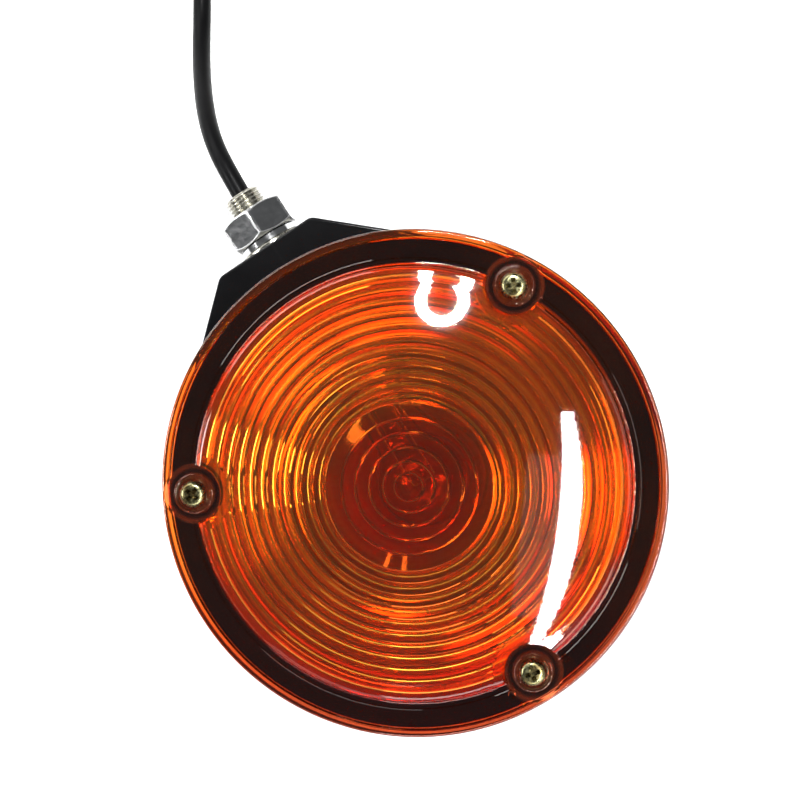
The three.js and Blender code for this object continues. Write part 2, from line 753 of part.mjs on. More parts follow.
// ---------- wiring inside the housing ----------
function addWiring(axis) {
  const jacket = rod(cableRadius, cableInnerStart, cableInnerEnd, 12);
  addPiece('cable_inner', jacket, finishes.cable, axis);
  const ferruleStart = cableInnerStart + seatGap;
  const ferrule = sleeve(cableRadius + seatGap, ferruleRadius, ferruleStart, bulbSetback - seatGap);
  addPiece('cable_ferrule', ferrule, finishes.steel, axis);
  // Both wires leave the jacket straight and meet their places straight
  const start = cableInnerStart - sideGap;
  const straight = 0.8;
  const liveEnd = shellEnd + terminalRise + sideGap;
  const live = [[1.1, start, 0], [1.1, start - straight, 0], [0, liveEnd + straight, 0], [0, liveEnd, 0]];
  addPiece('live_wire', wireAlong(live, wireRadius, 4, 6), finishes.liveCore, axis);
  const tagFace = -strapInnerHalf + seatGap;
  const tagInner = tagFace + tagThickness;
  const rivetInner = tagInner + rivetHeadRise;
  const earthEnd = rivetPlace - 0.4;
  const earth = [
    [-1.2, start, 0], [-1.3, start - straight, 0], [-3.4, start - 1.8, 0.4],
    [-5.6, earthEnd, 0.2], [rivetInner + sideGap, earthEnd, 0],
  ];
  addPiece('earth_wire', wireAlong(earth, earthWireRadius, 6, 6), finishes.earthCore, axis);
  const tagHole = rivetRadius + seatGap;
  const tag = sleeve(tagHole, tagHole + tagWidth, tagFace, tagInner, 12).rotateZ(-Math.PI / 2);
  addPiece('earth_tag', tag.translate(0, rivetPlace, 0), finishes.brass, axis);
  const rivet = rod(rivetRadius, -strapOuterHalf - rivetHeadRise, rivetInner, 12);
  rivet.rotateZ(-Math.PI / 2);
  addPiece('earth_rivet', rivet.translate(0, rivetPlace, 0), finishes.zinc, axis);
}

// ---------- cable, its coil and its ends ----------
function addCable() {
  const route = cableRoute.map(([side, past, drop]) => [
    side, studEnd + past, lowestCable + (midHeight - lowestCable) * drop,
  ]);
  addPiece('cable', wireAlong(route, cableRadius, 20, 8), finishes.cable);
  const place = new THREE.Group();
  place.position.set(coilPlace.side, studEnd + coilPlace.pastStud, 0);
  lamp.add(place);
  addCoil(place);
  addCoreEnds(place);
}

// The winding's two turns as one flat ring, with a strap round them
function addCoil(place) {
  const inner = coilInnerRun - cableRadius;
  const outer = coilOuterRun + cableRadius;
  const top = coilLift + 2 * cableRadius;
  const coil = turnedUp([
    [inner + coilRounding, coilLift], [outer - coilRounding, coilLift], [outer, coilLift + coilRounding],
    [outer, top - coilRounding], [outer - coilRounding, top], [inner + coilRounding, top],
    [inner, top - coilRounding], [inner, coilLift + coilRounding], [inner + coilRounding, coilLift],
  ], 28);
  addPiece('cable_coil', coil, finishes.cable, place);
  // The strap's outline is cut through, so it stays clear of the turns it goes round
  const bow = inner - Math.sqrt(inner ** 2 - (tieWidth / 2) ** 2);
  const low = { inner: inner - bow - sideGap, outer: outer + seatGap };
  const foot = coilLift - seatGap;
  const roof = top + seatGap;
  const base = tieLift;
  const outline = new THREE.Shape([
    point(low.inner - tieThickness, base), point(low.outer + tieThickness, base),
    point(low.outer + tieThickness, roof + tieThickness),
    point(low.inner - tieThickness, roof + tieThickness),
  ]);
  outline.holes.push(new THREE.Path([
    point(low.inner, foot), point(low.inner, roof), point(low.outer, roof), point(low.outer, foot),
  ]));
  const tie = new THREE.ExtrudeGeometry(outline, { depth: tieWidth, bevelEnabled: false });
  tie.rotateX(Math.PI / 2).translate(0, tieWidth / 2, 0);
  addPiece('coil_tie', tie, finishes.cable, place).rotation.z = radians(tieAngle);
}

function makeBulletPin() {
  const neck = bulletPinRadius * 0.75;
  return turned([
    [0, 0], [bulletPinRadius, 0], [bulletPinRadius, bulletPinLength * 0.45],
    [neck, bulletPinLength * 0.55], [neck, bulletPinLength * 0.65],
    [bulletPinRadius, bulletPinLength * 0.75], [bulletPinRadius * 0.8, bulletPinLength * 0.95],
    [bulletPinRadius * 0.3, bulletPinLength], [0, bulletPinLength],
  ], 12);
}

// The two cores leave the jacket inside the coil and end in bullet connectors. Places are
// counted from the coil's centre, before the whole set is swung round to the jacket's end.
function addCoreEnds(place) {
  const set = new THREE.Group();
  set.rotation.z = radians(coreSwing);
  place.add(set);
  const low = bulletSleeveRadius + coreLift;
  for (const { name, start, turn, seat, aim } of coreEnds) {
    const core = [[...start, low], [...turn, low], [...seat, low]];
    addPiece(`${name}_core`, wireAlong(core, coreRadius, 8, 6), finishes[`${name}Core`], set);
    const ahead = new THREE.Vector3(Math.cos(radians(aim)), Math.sin(radians(aim)), 0);
    const cover = addPiece(
      `${name}_bullet_sleeve`, rod(bulletSleeveRadius, 0, bulletSleeveLength, 12), finishes.sleeve, set,
    );
    const pin = addPiece(`${name}_bullet_pin`, makeBulletPin(), finishes.brass, set);
    cover.position.set(...seat, low).addScaledVector(ahead, sideGap);
    pin.position.copy(cover.position).addScaledVector(ahead, bulletSleeveLength + sideGap);
    cover.rotation.z = radians(aim - 90);
    pin.rotation.z = radians(aim - 90);
  }
}

// ---------- the whole lamp ----------
addFace('front', finishes.frontLens);
addFace('rear', finishes.rearLens);
addPiece('housing', makeHousing(), finishes.housing).position.z = midHeight;
const studAxis = new THREE.Group();
studAxis.position.z = midHeight;
lamp.add(studAxis);
addStudParts(studAxis);
const bulbAxis = new THREE.Group();
bulbAxis.position.y = bulbPlace;
studAxis.add(bulbAxis);
addBulb(bulbAxis);
addHolder(bulbAxis);
addWiring(bulbAxis);
addCable();

export default lamp;
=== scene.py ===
"""Looks of the double-faced warning lamp: amber lens up, red lens down, hollow stud and cable."""

import math

import bmesh
import bpy
from mathutils import Matrix, Vector


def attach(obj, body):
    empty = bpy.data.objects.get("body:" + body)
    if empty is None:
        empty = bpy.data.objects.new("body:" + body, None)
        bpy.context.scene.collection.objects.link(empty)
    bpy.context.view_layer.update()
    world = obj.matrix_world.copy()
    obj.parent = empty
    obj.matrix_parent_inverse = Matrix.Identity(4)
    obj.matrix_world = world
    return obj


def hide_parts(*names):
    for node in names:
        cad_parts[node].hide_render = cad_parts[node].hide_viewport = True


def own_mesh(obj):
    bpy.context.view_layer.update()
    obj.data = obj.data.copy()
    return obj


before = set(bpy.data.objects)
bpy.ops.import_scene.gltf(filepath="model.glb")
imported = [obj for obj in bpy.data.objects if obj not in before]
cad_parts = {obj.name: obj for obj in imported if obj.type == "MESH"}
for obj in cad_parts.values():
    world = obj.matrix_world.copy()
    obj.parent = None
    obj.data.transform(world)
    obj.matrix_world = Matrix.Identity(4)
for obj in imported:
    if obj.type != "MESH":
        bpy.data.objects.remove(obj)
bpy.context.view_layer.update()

# ---------- sizes, in millimetres as in the part ----------
MM = 0.001
MID = 36.4
LENS_SEAT = 23.9
LENS_RADIUS = 63.5
LENS_HEIGHT = 12.5
LENS_WALL = 2.4
FLANGE = 3.0
LIP_INNER = 61.3
LIP_TOP = 4.0
SKIRT_DEPTH = 2.4
SKIRT_INNER = 62.4
DOME_RADIUS = 54.6
SHOULDER = 2.0
SHOULDER_HEIGHT = 6.3
BULLSEYE = 20.6
FLUTE_COUNT = 10
FLUTE_EDGE = DOME_RADIUS - LENS_WALL - SHOULDER
FLUTE_STEP = (FLUTE_EDGE - BULLSEYE) / FLUTE_COUNT
FLUTE_DEPTH = 0.8
BULLSEYE_RINGS = (3.5, 6.3, 9.8, 13.3, 16.7)
POCKET_RADIUS = 7.6
SEAT_RADIUS = 5.1
SEAT_RISE = 0.8
SEAT_DISH = 0.2
FLANGE_PIPS = [(8.7, -57), (-7.3, -57.4)]
HOUSING_RADIUS = 62.0
HOUSING_HALF = 22.0
RIM_INNER = 55.9
LEDGE_INNER = 53.4
CAVITY_RADIUS = 59.5
SCREW_CIRCLE = 55.4
SCREW_ANGLES = (30, 150, 270)
SCREW_TURNS = (62, 20, 75)
SCREW_HEAD = 3.35
SCREW_HOLE = 2.05
GASKET_OUTER = 62.0
GASKET_THICKNESS = 1.5
PEDESTAL_REACH = 71.0
STUD_RADIUS = 4.9
STUD_BORE = 3.4
STUD_START = 58.0
STUD_END = 88.5
NUT_BORE = 5.1
NUT_FLATS = 17.0
NUT_CHAMFER = 0.15
NUT_SLOPE = 0.6
NUT_EDGE = 0.38
NUT_FOOT = 75.2
NUT_HEIGHT = 8
JAM_NUT_FOOT = 60.4
JAM_NUT_HEIGHT = 5
WASHER_FOOT = 71.2
LOCK_WASHER_FOOT = 73.2
WASHER_OUTER = 9.2
LOCK_WASHER_OUTER = 8.0
WASHER_THICKNESS = 1.8
PIN_PLACE = 30
PIN_RADIUS = 1.0
CABLE_RADIUS = 2.5
COIL_CENTRE = (62.9, 159.5)
COIL_HEIGHT = 3.3
COIL_OUTER_RUN = 32.0
COIL_PITCH = 5.2
COIL_START = 147.0
COIL_TURNS = 2
TIE_PLACE = 127
CORE_SWING = 161.3
ROUND = 192

# The cable's free stretch, from inside the stud's bore to the coil
CABLE_ROUTE = [
    (0, 81, 36.4), (0, 85, 36.4), (0.1, 89, 36.4), (0.3, 93, 36.2), (0.5, 98, 35.3),
    (0.8, 103.6, 33.2), (1.9, 110.4, 28.8), (3.6, 117.4, 22.7), (5.7, 124, 16.4),
    (8.1, 130.2, 10.9), (10.9, 136, 6.8), (13.9, 141.3, 4.3), (17, 146.4, 3.3), (20.2, 151.5, 3.1),
    (23, 156, 3.1), (25.2, 159.4, 3.1),
]


def screw_places():
    for angle in SCREW_ANGLES:
        spot = math.radians(angle)
        yield SCREW_CIRCLE * math.cos(spot), SCREW_CIRCLE * math.sin(spot)


# ---------- shader nodes ----------
class Value:
    """A number, colour or vector that varies over a surface."""

    def __init__(self, finish, socket):
        self.finish = finish
        self.socket = socket

    def math(self, operation, *inputs):
        return self.finish.add("ShaderNodeMath", {"operation": operation}, dict(enumerate(inputs)))

    def __add__(self, other):
        return self.math("ADD", self, other)

    def __sub__(self, other):
        return self.math("SUBTRACT", self, other)

    def __rsub__(self, other):
        return self.math("SUBTRACT", other, self)

    def __mul__(self, other):
        return self.math("MULTIPLY", self, other)

    def __truediv__(self, other):
        return self.math("DIVIDE", self, other)

    def __pow__(self, other):
        return self.math("POWER", self, other)


class Finish:
    """A procedural material: constants go on its shader, varying looks come through its nodes."""

    def __init__(self, name, **constants):
        self.material = bpy.data.materials.new(name)
        self.material.use_nodes = True
        self.nodes = self.material.node_tree.nodes
        self.nodes.clear()
        output = self.nodes.new("ShaderNodeOutputMaterial")
        self.shader = self.nodes.new("ShaderNodeBsdfPrincipled")
        self.link(self.shader.outputs[0], output.inputs[0])
        for key, value in constants.items():
            self.set(key.replace("_", " ").title().replace("Ior", "IOR"), value)

    def link(self, source, target):
        self.material.node_tree.links.new(source, target)

    def plug(self, target, value):
        if isinstance(value, Value):
            self.link(value.socket, target)
        else:
            target.default_value = value

    def set(self, socket, value):
        self.plug(self.shader.inputs[socket], value)

    def add(self, kind, settings=None, inputs=None, out=0):
        node = self.nodes.new(kind)
        for key, value in (settings or {}).items():
            if key == "stops":
                self.set_stops(node.color_ramp, value)
            else:
                setattr(node, key, value)
        for key, value in (inputs or {}).items():
            self.plug(node.inputs[key], value)
        return Value(self, node.outputs[out])

    def set_stops(self, ramp, stops):
        while len(ramp.elements) < len(stops):
            ramp.elements.new(0.5)
        for element, (place, colour) in zip(ramp.elements, stops):
            element.position = place
            element.color = (*colour, 1)

    def place(self):
        return self.add("ShaderNodeTexCoord", out="Object")

    def noise(self, scale, detail=3, roughness=0.55, place=None):
        inputs = {"Vector": place or self.place(), "Scale": scale, "Detail": detail, "Roughness": roughness}
        return self.add("ShaderNodeTexNoise", None, inputs)

    def ramp(self, value, stops):
        return self.add("ShaderNodeValToRGB", {"stops": stops}, {"Fac": value})

    def mix(self, share, first, second):
        settings = {"data_type": "RGBA", "blend_type": "MIX"}
        return self.add("ShaderNodeMix", settings, {0: share, 6: first, 7: second}, out=2)

    def fit(self, value, low, high, to_low, to_high):
        inputs = {"Value": value, "From Min": low, "From Max": high, "To Min": to_low, "To Max": to_high}
        return self.add("ShaderNodeMapRange", {"clamp": True}, inputs)

    def span(self, value, start, end, to_low, to_high):
        """As fit, for a distance, its start and end in millimetres."""
        return self.fit(value, start * MM, end * MM, to_low, to_high)

    def bump(self, height, strength, depth):
        inputs = {"Height": height, "Strength": strength, "Distance": depth}
        self.set("Normal", self.add("ShaderNodeBump", None, inputs))

    def parts(self, vector):
        node = self.add("ShaderNodeSeparateXYZ", None, {0: vector})
        outputs = node.socket.node.outputs
        return [Value(self, output) for output in outputs]

    def stretched(self, x, y, z):
        inputs = {0: self.place(), 1: (x, y, z)}
        return self.add("ShaderNodeVectorMath", {"operation": "MULTIPLY"}, inputs)


def rgb(red, green, blue):
    return (red, green, blue, 1)


# ---------- finishes ----------
def from_axis(finish):
    """Distance from the lens axis in metres, and the place across it both ways."""
    x, y, _ = finish.parts(finish.place())
    return (x * x + y * y) ** 0.5, x, y


def lens_finish(name, clear, deep_and_shaded, painted_highlight, lip_shade, shade, seat, transmission):
    look = Finish(name, transmission_weight=transmission, roughness=0.035, ior=1.49)
    radius, x, y = from_axis(look)
    cloud = look.noise(28, 3)
    # Painted shade: the colour deepens towards the bullseye, in a soft band at the foot of the dome and
    # towards the side away from the stud, over a random cloudy tone
    middle = look.span(radius, 14, 26, 0.75, 0)
    foot = look.span(radius, 46, DOME_RADIUS - 0.1, 0, 0.35)
    low_side_shade = look.span(x * -0.54 + y * -0.84, 12, 56, 0, 0.6)
    share = middle + foot + low_side_shade + (cloud - 0.5) * 0.5
    colour = look.mix(look.fit(share, 0, 1, 0, 1), clear, deep_and_shaded)
    # Painted highlight: pale lines along the crests of the flutes, uneven with noise, and faint painted
    # streaks round the axis
    phase = (radius / MM - BULLSEYE) / FLUTE_STEP
    crest_highlight = 1 - phase.math("ABSOLUTE", phase.math("FRACT", phase) - 0.5) / 0.13
    fluted = look.span(radius, BULLSEYE - 0.4, BULLSEYE + 0.6, 0, 1)
    fluted = fluted * look.span(radius, DOME_RADIUS - 1.6, DOME_RADIUS - 0.6, 1, 0)
    crest_highlight = look.fit(crest_highlight, 0, 1, 0, 1) * fluted
    highlight_streak = look.noise(900, 2, 0.6, look.add("ShaderNodeCombineXYZ", None, {0: radius, 1: 0.0, 2: 0.0}))
    share = crest_highlight * look.fit(cloud, 0.3, 0.7, 0.6, 1.0) + look.fit(highlight_streak, 0.55, 0.75, 0, 0.35)
    colour = look.mix(look.fit(share, 0, 1, 0, 1), colour, painted_highlight)
    # Painted shade: the raised outer rim is darker, most of all on the side away from the stud
    far_side_shade = look.span(x * 0.21 + y * -0.98, -30, 20, 0.3, 0.9)
    on_lip = look.span(radius, LIP_INNER - 0.4, LIP_INNER, 0, 1)
    colour = look.mix(on_lip * far_side_shade, colour, lip_shade)
    # Painted shade: the flange is darkened where it lies over its black gasket
    flange_shade = look.span(radius, DOME_RADIUS + 0.2, DOME_RADIUS + 1, 0, 1)
    flange_shade = flange_shade * look.span(radius, LIP_INNER - 0.4, LIP_INNER, 1, 0)
    colour = look.mix(flange_shade * look.fit(cloud, 0.3, 0.7, 0.8, 0.96), colour, shade)
    # Painted shade: the pocket round each screw is redder, with a dark ring of painted shade at the foot of
    # the screw's seat
    near = [((x - a * MM) ** 2 + (y - b * MM) ** 2) ** 0.5 for a, b in screw_places()]
    near = near[0].math("MINIMUM", near[0], near[1].math("MINIMUM", near[1], near[2]))
    colour = look.mix(look.span(near, POCKET_RADIUS - 0.2, POCKET_RADIUS + 0.2, 0.9, 0), colour, seat)
    seat_foot_shade = look.span(near, SEAT_RADIUS, SEAT_RADIUS + 0.3, 0, 1) * look.span(near, 6, 6.8, 0.8, 0)
    colour = look.mix(seat_foot_shade, colour, shade)
    look.set("Base Color", colour)
    look.bump(look.noise(90, 1), 0.03, 0.0003)
    return look.material


def plastic_finish():
    look = Finish("black_moulded_plastic", coat_roughness=0.08, ior=1.5, specular_ior_level=0.14)
    cloud = look.noise(35, 4)
    scratch = look.noise(220, 3, 0.7, look.stretched(1, 0.06, 0.4))
    mark = look.fit(scratch, 0.62, 0.72, 0, 1)
    tone = look.fit(cloud, 0.35, 0.7, 0, 1)
    look.set("Base Color", look.mix(tone, rgb(0.002, 0.002, 0.0022), rgb(0.004, 0.004, 0.0043)))
    look.set("Roughness", look.fit(cloud, 0.3, 0.75, 0.12, 0.22) + mark * 0.12)
    look.set("Coat Weight", look.fit(cloud, 0.3, 0.7, 0.02, 0.07))
    look.bump(look.noise(1400, 2) + mark * 0.6, 0.12, 0.00012)
    return look.material


def rubber_finish(name, tone, roughness):
    look = Finish(name, specular_ior_level=0.4)
    grain = look.noise(900, 4)
    cloud = look.noise(60, 3)
    look.set("Base Color", look.mix(cloud, rgb(*(0.7 * part for part in tone)), rgb(*tone)))
    look.set("Roughness", look.fit(grain, 0.3, 0.7, roughness - 0.08, roughness + 0.08))
    look.bump(grain, 0.2, 0.0001)
    return look.material


def reflector_finish():
    look = Finish("bright_reflector", metallic=1.0)
    radius, _, _ = from_axis(look)
    spun = look.noise(1600, 2, 0.6, look.add("ShaderNodeCombineXYZ", None, {0: radius, 1: 0.0, 2: 0.0}))
    cloud = look.noise(45, 3)
    look.set("Base Color", look.mix(cloud, rgb(0.7, 0.68, 0.63), rgb(0.9, 0.89, 0.86)))
    look.set("Roughness", look.fit(spun, 0.35, 0.7, 0.12, 0.24) + (cloud - 0.5) * 0.08)
    look.bump(spun, 0.15, 0.0001)
    return look.material


def metal_finish(name, dark, bright, roughness, spread=0.1, relief=0.18):
    """Bare or plated metal with a cloudy tone and fine grain."""
    look = Finish(name, metallic=1.0)
    cloud = look.noise(110, 4, 0.6)
    fine = look.noise(700, 3, 0.6)
    look.set("Base Color", look.mix(look.fit(cloud, 0.32, 0.7, 0, 1), rgb(*dark), rgb(*bright)))
    look.set("Roughness", look.fit(fine, 0.3, 0.7, roughness - spread, roughness + spread))
    look.bump(fine, relief, 0.00008)
    return look.material


def nut_finish():
    """Bright zinc with a painted highlight: paler, and rougher, along the turned-off corners of the mounting
    nut.
    """
    look = Finish("nut_bright_zinc", metallic=1.0)
    cloud = look.noise(110, 4, 0.6)
    fine = look.noise(700, 3, 0.6)
    x, y, z = look.parts(look.place())
    from_stud = (x ** 2 + (z - MID * MM) ** 2) ** 0.5
    middle = (NUT_FOOT + NUT_HEIGHT / 2) * MM
    from_end = NUT_HEIGHT / 2 * MM - (y - middle).math("ABSOLUTE", y - middle)
    past_cone = from_stud - (NUT_FLATS / 2 - NUT_CHAMFER) * MM - from_end / NUT_SLOPE
    # Painted highlight: the chamfered rims and the corners are painted paler, and made rougher
    rim = look.span(past_cone, -0.6, -0.3, 0, 1)
    corner = look.span(from_stud, 9.45, 9.6, 0, 0.7)
    edge_highlight = look.fit(rim + corner, 0, 1, 0, 1)
    plain = look.mix(look.fit(cloud, 0.32, 0.7, 0, 1), rgb(0.4, 0.405, 0.41), rgb(0.5, 0.505, 0.51))
    look.set("Base Color", look.mix(edge_highlight, plain, rgb(0.6, 0.6, 0.6)))
    look.set("Roughness", look.fit(fine, 0.3, 0.7, 0.08, 0.18) + edge_highlight * 0.17)
    look.bump(fine, 0.05, 0.00008)
    return look.material


def yellow_zinc_finish():
    look = Finish("yellow_passivated_zinc", metallic=1.0)
    cloud = look.noise(260, 3, 0.6)
    fine = look.noise(1500, 3)
    stops = [
        (0.3, (0.1, 0.06, 0.02)), (0.45, (0.16, 0.135, 0.06)), (0.58, (0.22, 0.21, 0.11)),
        (0.72, (0.12, 0.13, 0.07)),
    ]
    look.set("Base Color", look.ramp(cloud, stops))
    look.set("Roughness", look.fit(fine, 0.3, 0.7, 0.16, 0.36))
    look.bump(fine, 0.2, 0.00006)
    return look.material


def bulb_glass_finish():
    look = Finish("clear_bulb_glass", transmission_weight=1.0, roughness=0.0, ior=1.45)
    look.set("Base Color", look.mix(look.noise(60, 2), rgb(0.93, 0.95, 0.94), rgb(1, 1, 1)))
    look.bump(look.noise(80, 2), 0.05, 0.0003)
    return look.material


def cable_finish():
    look = Finish("black_cable_jacket", specular_ior_level=0.05)
    cloud = look.noise(120, 3)
    along = look.noise(420, 2, 0.6)
    look.set("Base Color", look.mix(cloud, rgb(0.002, 0.002, 0.0022), rgb(0.0042, 0.0042, 0.0045)))
    look.set("Roughness", look.fit(along, 0.3, 0.7, 0.3, 0.44))
    look.bump(along, 0.12, 0.0001)
    return look.material


def dull_finish(name, dark, bright, roughness):
    """Pressed board, wire insulation and soft vinyl."""
    look = Finish(name, specular_ior_level=0.45)
    cloud = look.noise(240, 4)
    look.set("Base Color", look.mix(look.fit(cloud, 0.3, 0.7, 0, 1), rgb(*dark), rgb(*bright)))
    look.set("Roughness", look.fit(cloud, 0.3, 0.7, roughness - 0.07, roughness + 0.07))
    look.bump(look.noise(1100, 3), 0.15, 0.00008)
    return look.material


# Each lens's clear colour is its own tint. Its palest colour is a painted highlight, and the rest are mostly
# painted shade.
AMBER = lens_finish(
    "amber_lens_plastic", clear=rgb(0.88, 0.24, 0.012), deep_and_shaded=rgb(0.9, 0.032, 0.004),
    painted_highlight=rgb(1, 0.6, 0.06), lip_shade=rgb(0.3, 0.045, 0.012), shade=rgb(0.06, 0.018, 0.01),
    seat=rgb(0.9, 0.2, 0.07), transmission=0.98,
)
RED = lens_finish(
    "red_lens_plastic", clear=rgb(0.78, 0.03, 0.015), deep_and_shaded=rgb(0.45, 0.008, 0.006),
    painted_highlight=rgb(0.95, 0.12, 0.05), lip_shade=rgb(0.5, 0.02, 0.01), shade=rgb(0.05, 0.01, 0.01),
    seat=rgb(0.3, 0.02, 0.01), transmission=0.95,
)
PLASTIC = plastic_finish()
RUBBER = rubber_finish("black_gasket_rubber", (0.005, 0.005, 0.005), 0.6)
REFLECTOR = reflector_finish()
ZINC = metal_finish(
    "satin_zinc_plate", (0.46, 0.465, 0.47), (0.54, 0.545, 0.55), 0.13, spread=0.05, relief=0.05,
)
NUT_ZINC = nut_finish()
BRIGHT_ZINC = metal_finish("bright_turned_zinc", (0.3, 0.29, 0.245), (0.44, 0.43, 0.38), 0.22)
YELLOW_ZINC = yellow_zinc_finish()
STEEL = metal_finish("plated_sheet_steel", (0.42, 0.42, 0.41), (0.62, 0.62, 0.6), 0.3)
BRASS = metal_finish("bare_brass", (0.55, 0.36, 0.12), (0.82, 0.6, 0.26), 0.28)
SOLDER = metal_finish("soft_solder", (0.45, 0.45, 0.45), (0.65, 0.65, 0.64), 0.35)
TUNGSTEN = metal_finish("drawn_tungsten", (0.2, 0.2, 0.2), (0.38, 0.38, 0.37), 0.4)
BULB_GLASS = bulb_glass_finish()
FIBRE = dull_finish("brown_fibre_board", (0.1, 0.035, 0.014), (0.2, 0.075, 0.03), 0.7)
CABLE = cable_finish()
TIE = rubber_finish("black_tie_nylon", (0.018, 0.018, 0.019), 0.42)
BROWN_CORE = dull_finish("brown_core_jacket", (0.09, 0.03, 0.012), (0.16, 0.055, 0.022), 0.45)
WHITE_CORE = dull_finish("white_core_jacket", (0.68, 0.67, 0.63), (0.82, 0.81, 0.78), 0.45)
RED_SLEEVE = dull_finish("red_sleeve_vinyl", (0.3, 0.012, 0.01), (0.48, 0.022, 0.016), 0.4)


# ---------- camera ----------
def aimed(thing, place, target, up):
    back = (Vector(place) - Vector(target)).normalized()
    right = Vector(up).cross(back).normalized()
    upward = back.cross(right)
    turn = Matrix((right, upward, back)).transposed()
    thing.matrix_world = Matrix.Translation(Vector(place) * MM) @ turn.to_4x4()


camera = bpy.data.objects.new("camera", bpy.data.cameras.new("camera"))
bpy.context.collection.objects.link(camera)
camera.data.sensor_width = 36
camera.data.lens = 85.32
camera.data.clip_start = 0.05
camera.data.clip_end = 20
aimed(camera, (57.1, 5.63, 532.96), (8.9, 19.24, 64.3), (0.5408, 0.8405, -0.0312))
bpy.context.scene.camera = camera


# ---------- making pieces ----------
def piece(name, data, material, body, slot, *nodes):
    """Shows a piece on its body, in place of the part's own nodes."""
    shown = bpy.data.objects.new(name, data)
    bpy.context.collection.objects.link(shown)
    data.materials.clear()
    data.materials.append(material)
    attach(shown, body)
    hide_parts(*nodes)
    if shown.type == "MESH":
        shown.modifiers.new("even_shading", "WEIGHTED_NORMAL").keep_sharp = True
    return shown


def mesh_of(points, faces, crease=32):
    """A closed mesh from points in millimetres, shaded smooth but for its creases."""
    mesh = bpy.data.meshes.new("mesh")
    mesh.from_pydata([Vector(p) * MM for p in points], [], faces)
    return tidied(mesh, crease)


def tidied(mesh, crease=32, joined=False):
    """Shades a mesh smooth but for its creases, its flat faces joined up first if asked."""
    work = bmesh.new()
    work.from_mesh(mesh)
    bmesh.ops.remove_doubles(work, verts=work.verts, dist=1e-7)
    if joined:
        bmesh.ops.dissolve_limit(work, angle_limit=math.radians(0.4), verts=work.verts, edges=work.edges)
    bmesh.ops.recalc_face_normals(work, faces=work.faces)
    for face in work.faces:
        face.smooth = True
    for edge in work.edges:
        edge.smooth = len(edge.link_faces) == 2 and edge.calc_face_angle(0) < math.radians(crease)
    work.to_mesh(mesh)
    work.free()
    return mesh


def rounded(mesh, edge):
    """Takes the sharpness off a mesh's corners."""
    thing = bpy.data.objects.new("work", mesh)
    bpy.context.collection.objects.link(thing)
    change = thing.modifiers.new("work", "BEVEL")
    change.width = edge * MM
    change.segments = 2
    change.angle_limit = math.radians(25)
    change.use_clamp_overlap = True
    graph = bpy.context.evaluated_depsgraph_get()
    graph.update()
    result = bpy.data.meshes.new_from_object(thing.evaluated_get(graph))
    bpy.data.objects.remove(thing)
    bpy.data.meshes.remove(mesh)
    return tidied(result, 50)


def lathe(outline, sides=ROUND, ring=False, crease=32):
    """Turns (radius, height) pairs about Z: from axis to axis, or as a closed ring."""
    points, rows = [], []
    for radius, height in outline:
        count = 1 if radius < 1e-6 else sides
        rows.append(range(len(points), len(points) + count))
        for k in range(count):
            angle = 2 * math.pi * k / sides
            points.append((radius * math.cos(angle), radius * math.sin(angle), height))
    faces = []
    pairs = list(zip(rows, rows[1:] + rows[:1])) if ring else list(zip(rows, rows[1:]))
    for low, high in pairs:
        for k in range(sides):
            corners = [low[k % len(low)], low[(k + 1) % len(low)]]
            corners += [high[(k + 1) % len(high)], high[k % len(high)]]
            corners = list(dict.fromkeys(corners))
            if len(corners) > 2:
                faces.append(corners)
    return mesh_of(points, faces, crease)


def sleeve(inner, outer, low, high, edge=0.2, sides=64):
    """A tube with small rounded rims."""
    outline = [
        (inner + edge, low), (outer - edge, low), (outer, low + edge),
        (outer, high - edge), (outer - edge, high), (inner + edge, high),
        (inner, high - edge), (inner, low + edge),
    ]
    return lathe(outline, sides, ring=True, crease=50)


def rod(radius, low, high, edge=0.2, sides=48):
    outline = [(0, low), (radius - edge, low), (radius, low + edge)]
    outline += [(radius, high - edge), (radius - edge, high), (0, high)]
    return lathe(outline, sides, crease=50)


def moved(mesh, *steps):
    """Moves a mesh by matrices, the first step first."""
    for step in steps:
        mesh.transform(step)
    return mesh


def shift(x, y, z):
    return Matrix.Translation(Vector((x, y, z)) * MM)


def turn(angle, axis):
    return Matrix.Rotation(math.radians(angle), 4, axis)


# Z of a turned mesh laid along the stud, and a face's frame in the lamp
ALONG_STUD = shift(0, 0, MID) @ turn(-90, "X")
FRONT = shift(0, 0, MID)
REAR = shift(0, 0, MID) @ turn(180, "Y")


def combined(base, tool, operation):
    """Joins or cuts two closed meshes and gives the mesh that is left."""
    pair = [bpy.data.objects.new("work", data) for data in (base, tool)]
    for thing in pair:
        bpy.context.collection.objects.link(thing)
    change = pair[0].modifiers.new("work", "BOOLEAN")
    change.solver = "MANIFOLD"
    change.operation = operation
    change.object = pair[1]
    graph = bpy.context.evaluated_depsgraph_get()
    graph.update()
    result = bpy.data.meshes.new_from_object(pair[0].evaluated_get(graph))
    for thing in pair:
        data = thing.data
        bpy.data.objects.remove(thing)
        bpy.data.meshes.remove(data)
    return result


def less(base, *tools):
    for tool in tools:
        base = combined(base, tool, "DIFFERENCE")
    return base


def plus(base, *tools):
    for tool in tools:
        base = combined(base, tool, "UNION")
    return base


def arc(centre, radius, start, end, steps):
    """Points of an arc, in degrees, both ends in."""
    spots = [math.radians(start + (end - start) * k / steps) for k in range(steps + 1)]
    return [(centre[0] + radius * math.cos(a), centre[1] + radius * math.sin(a)) for a in spots]


# ---------- cable and coil ----------
def coil_point(angle, height=COIL_HEIGHT):
    """A point of the winding after so many degrees round it from its start, clockwise."""
    radius = COIL_OUTER_RUN - COIL_PITCH * angle / 360
    spot = math.radians(COIL_START - angle)
    return (COIL_CENTRE[0] + radius * math.cos(spot), COIL_CENTRE[1] + radius * math.sin(spot), height)


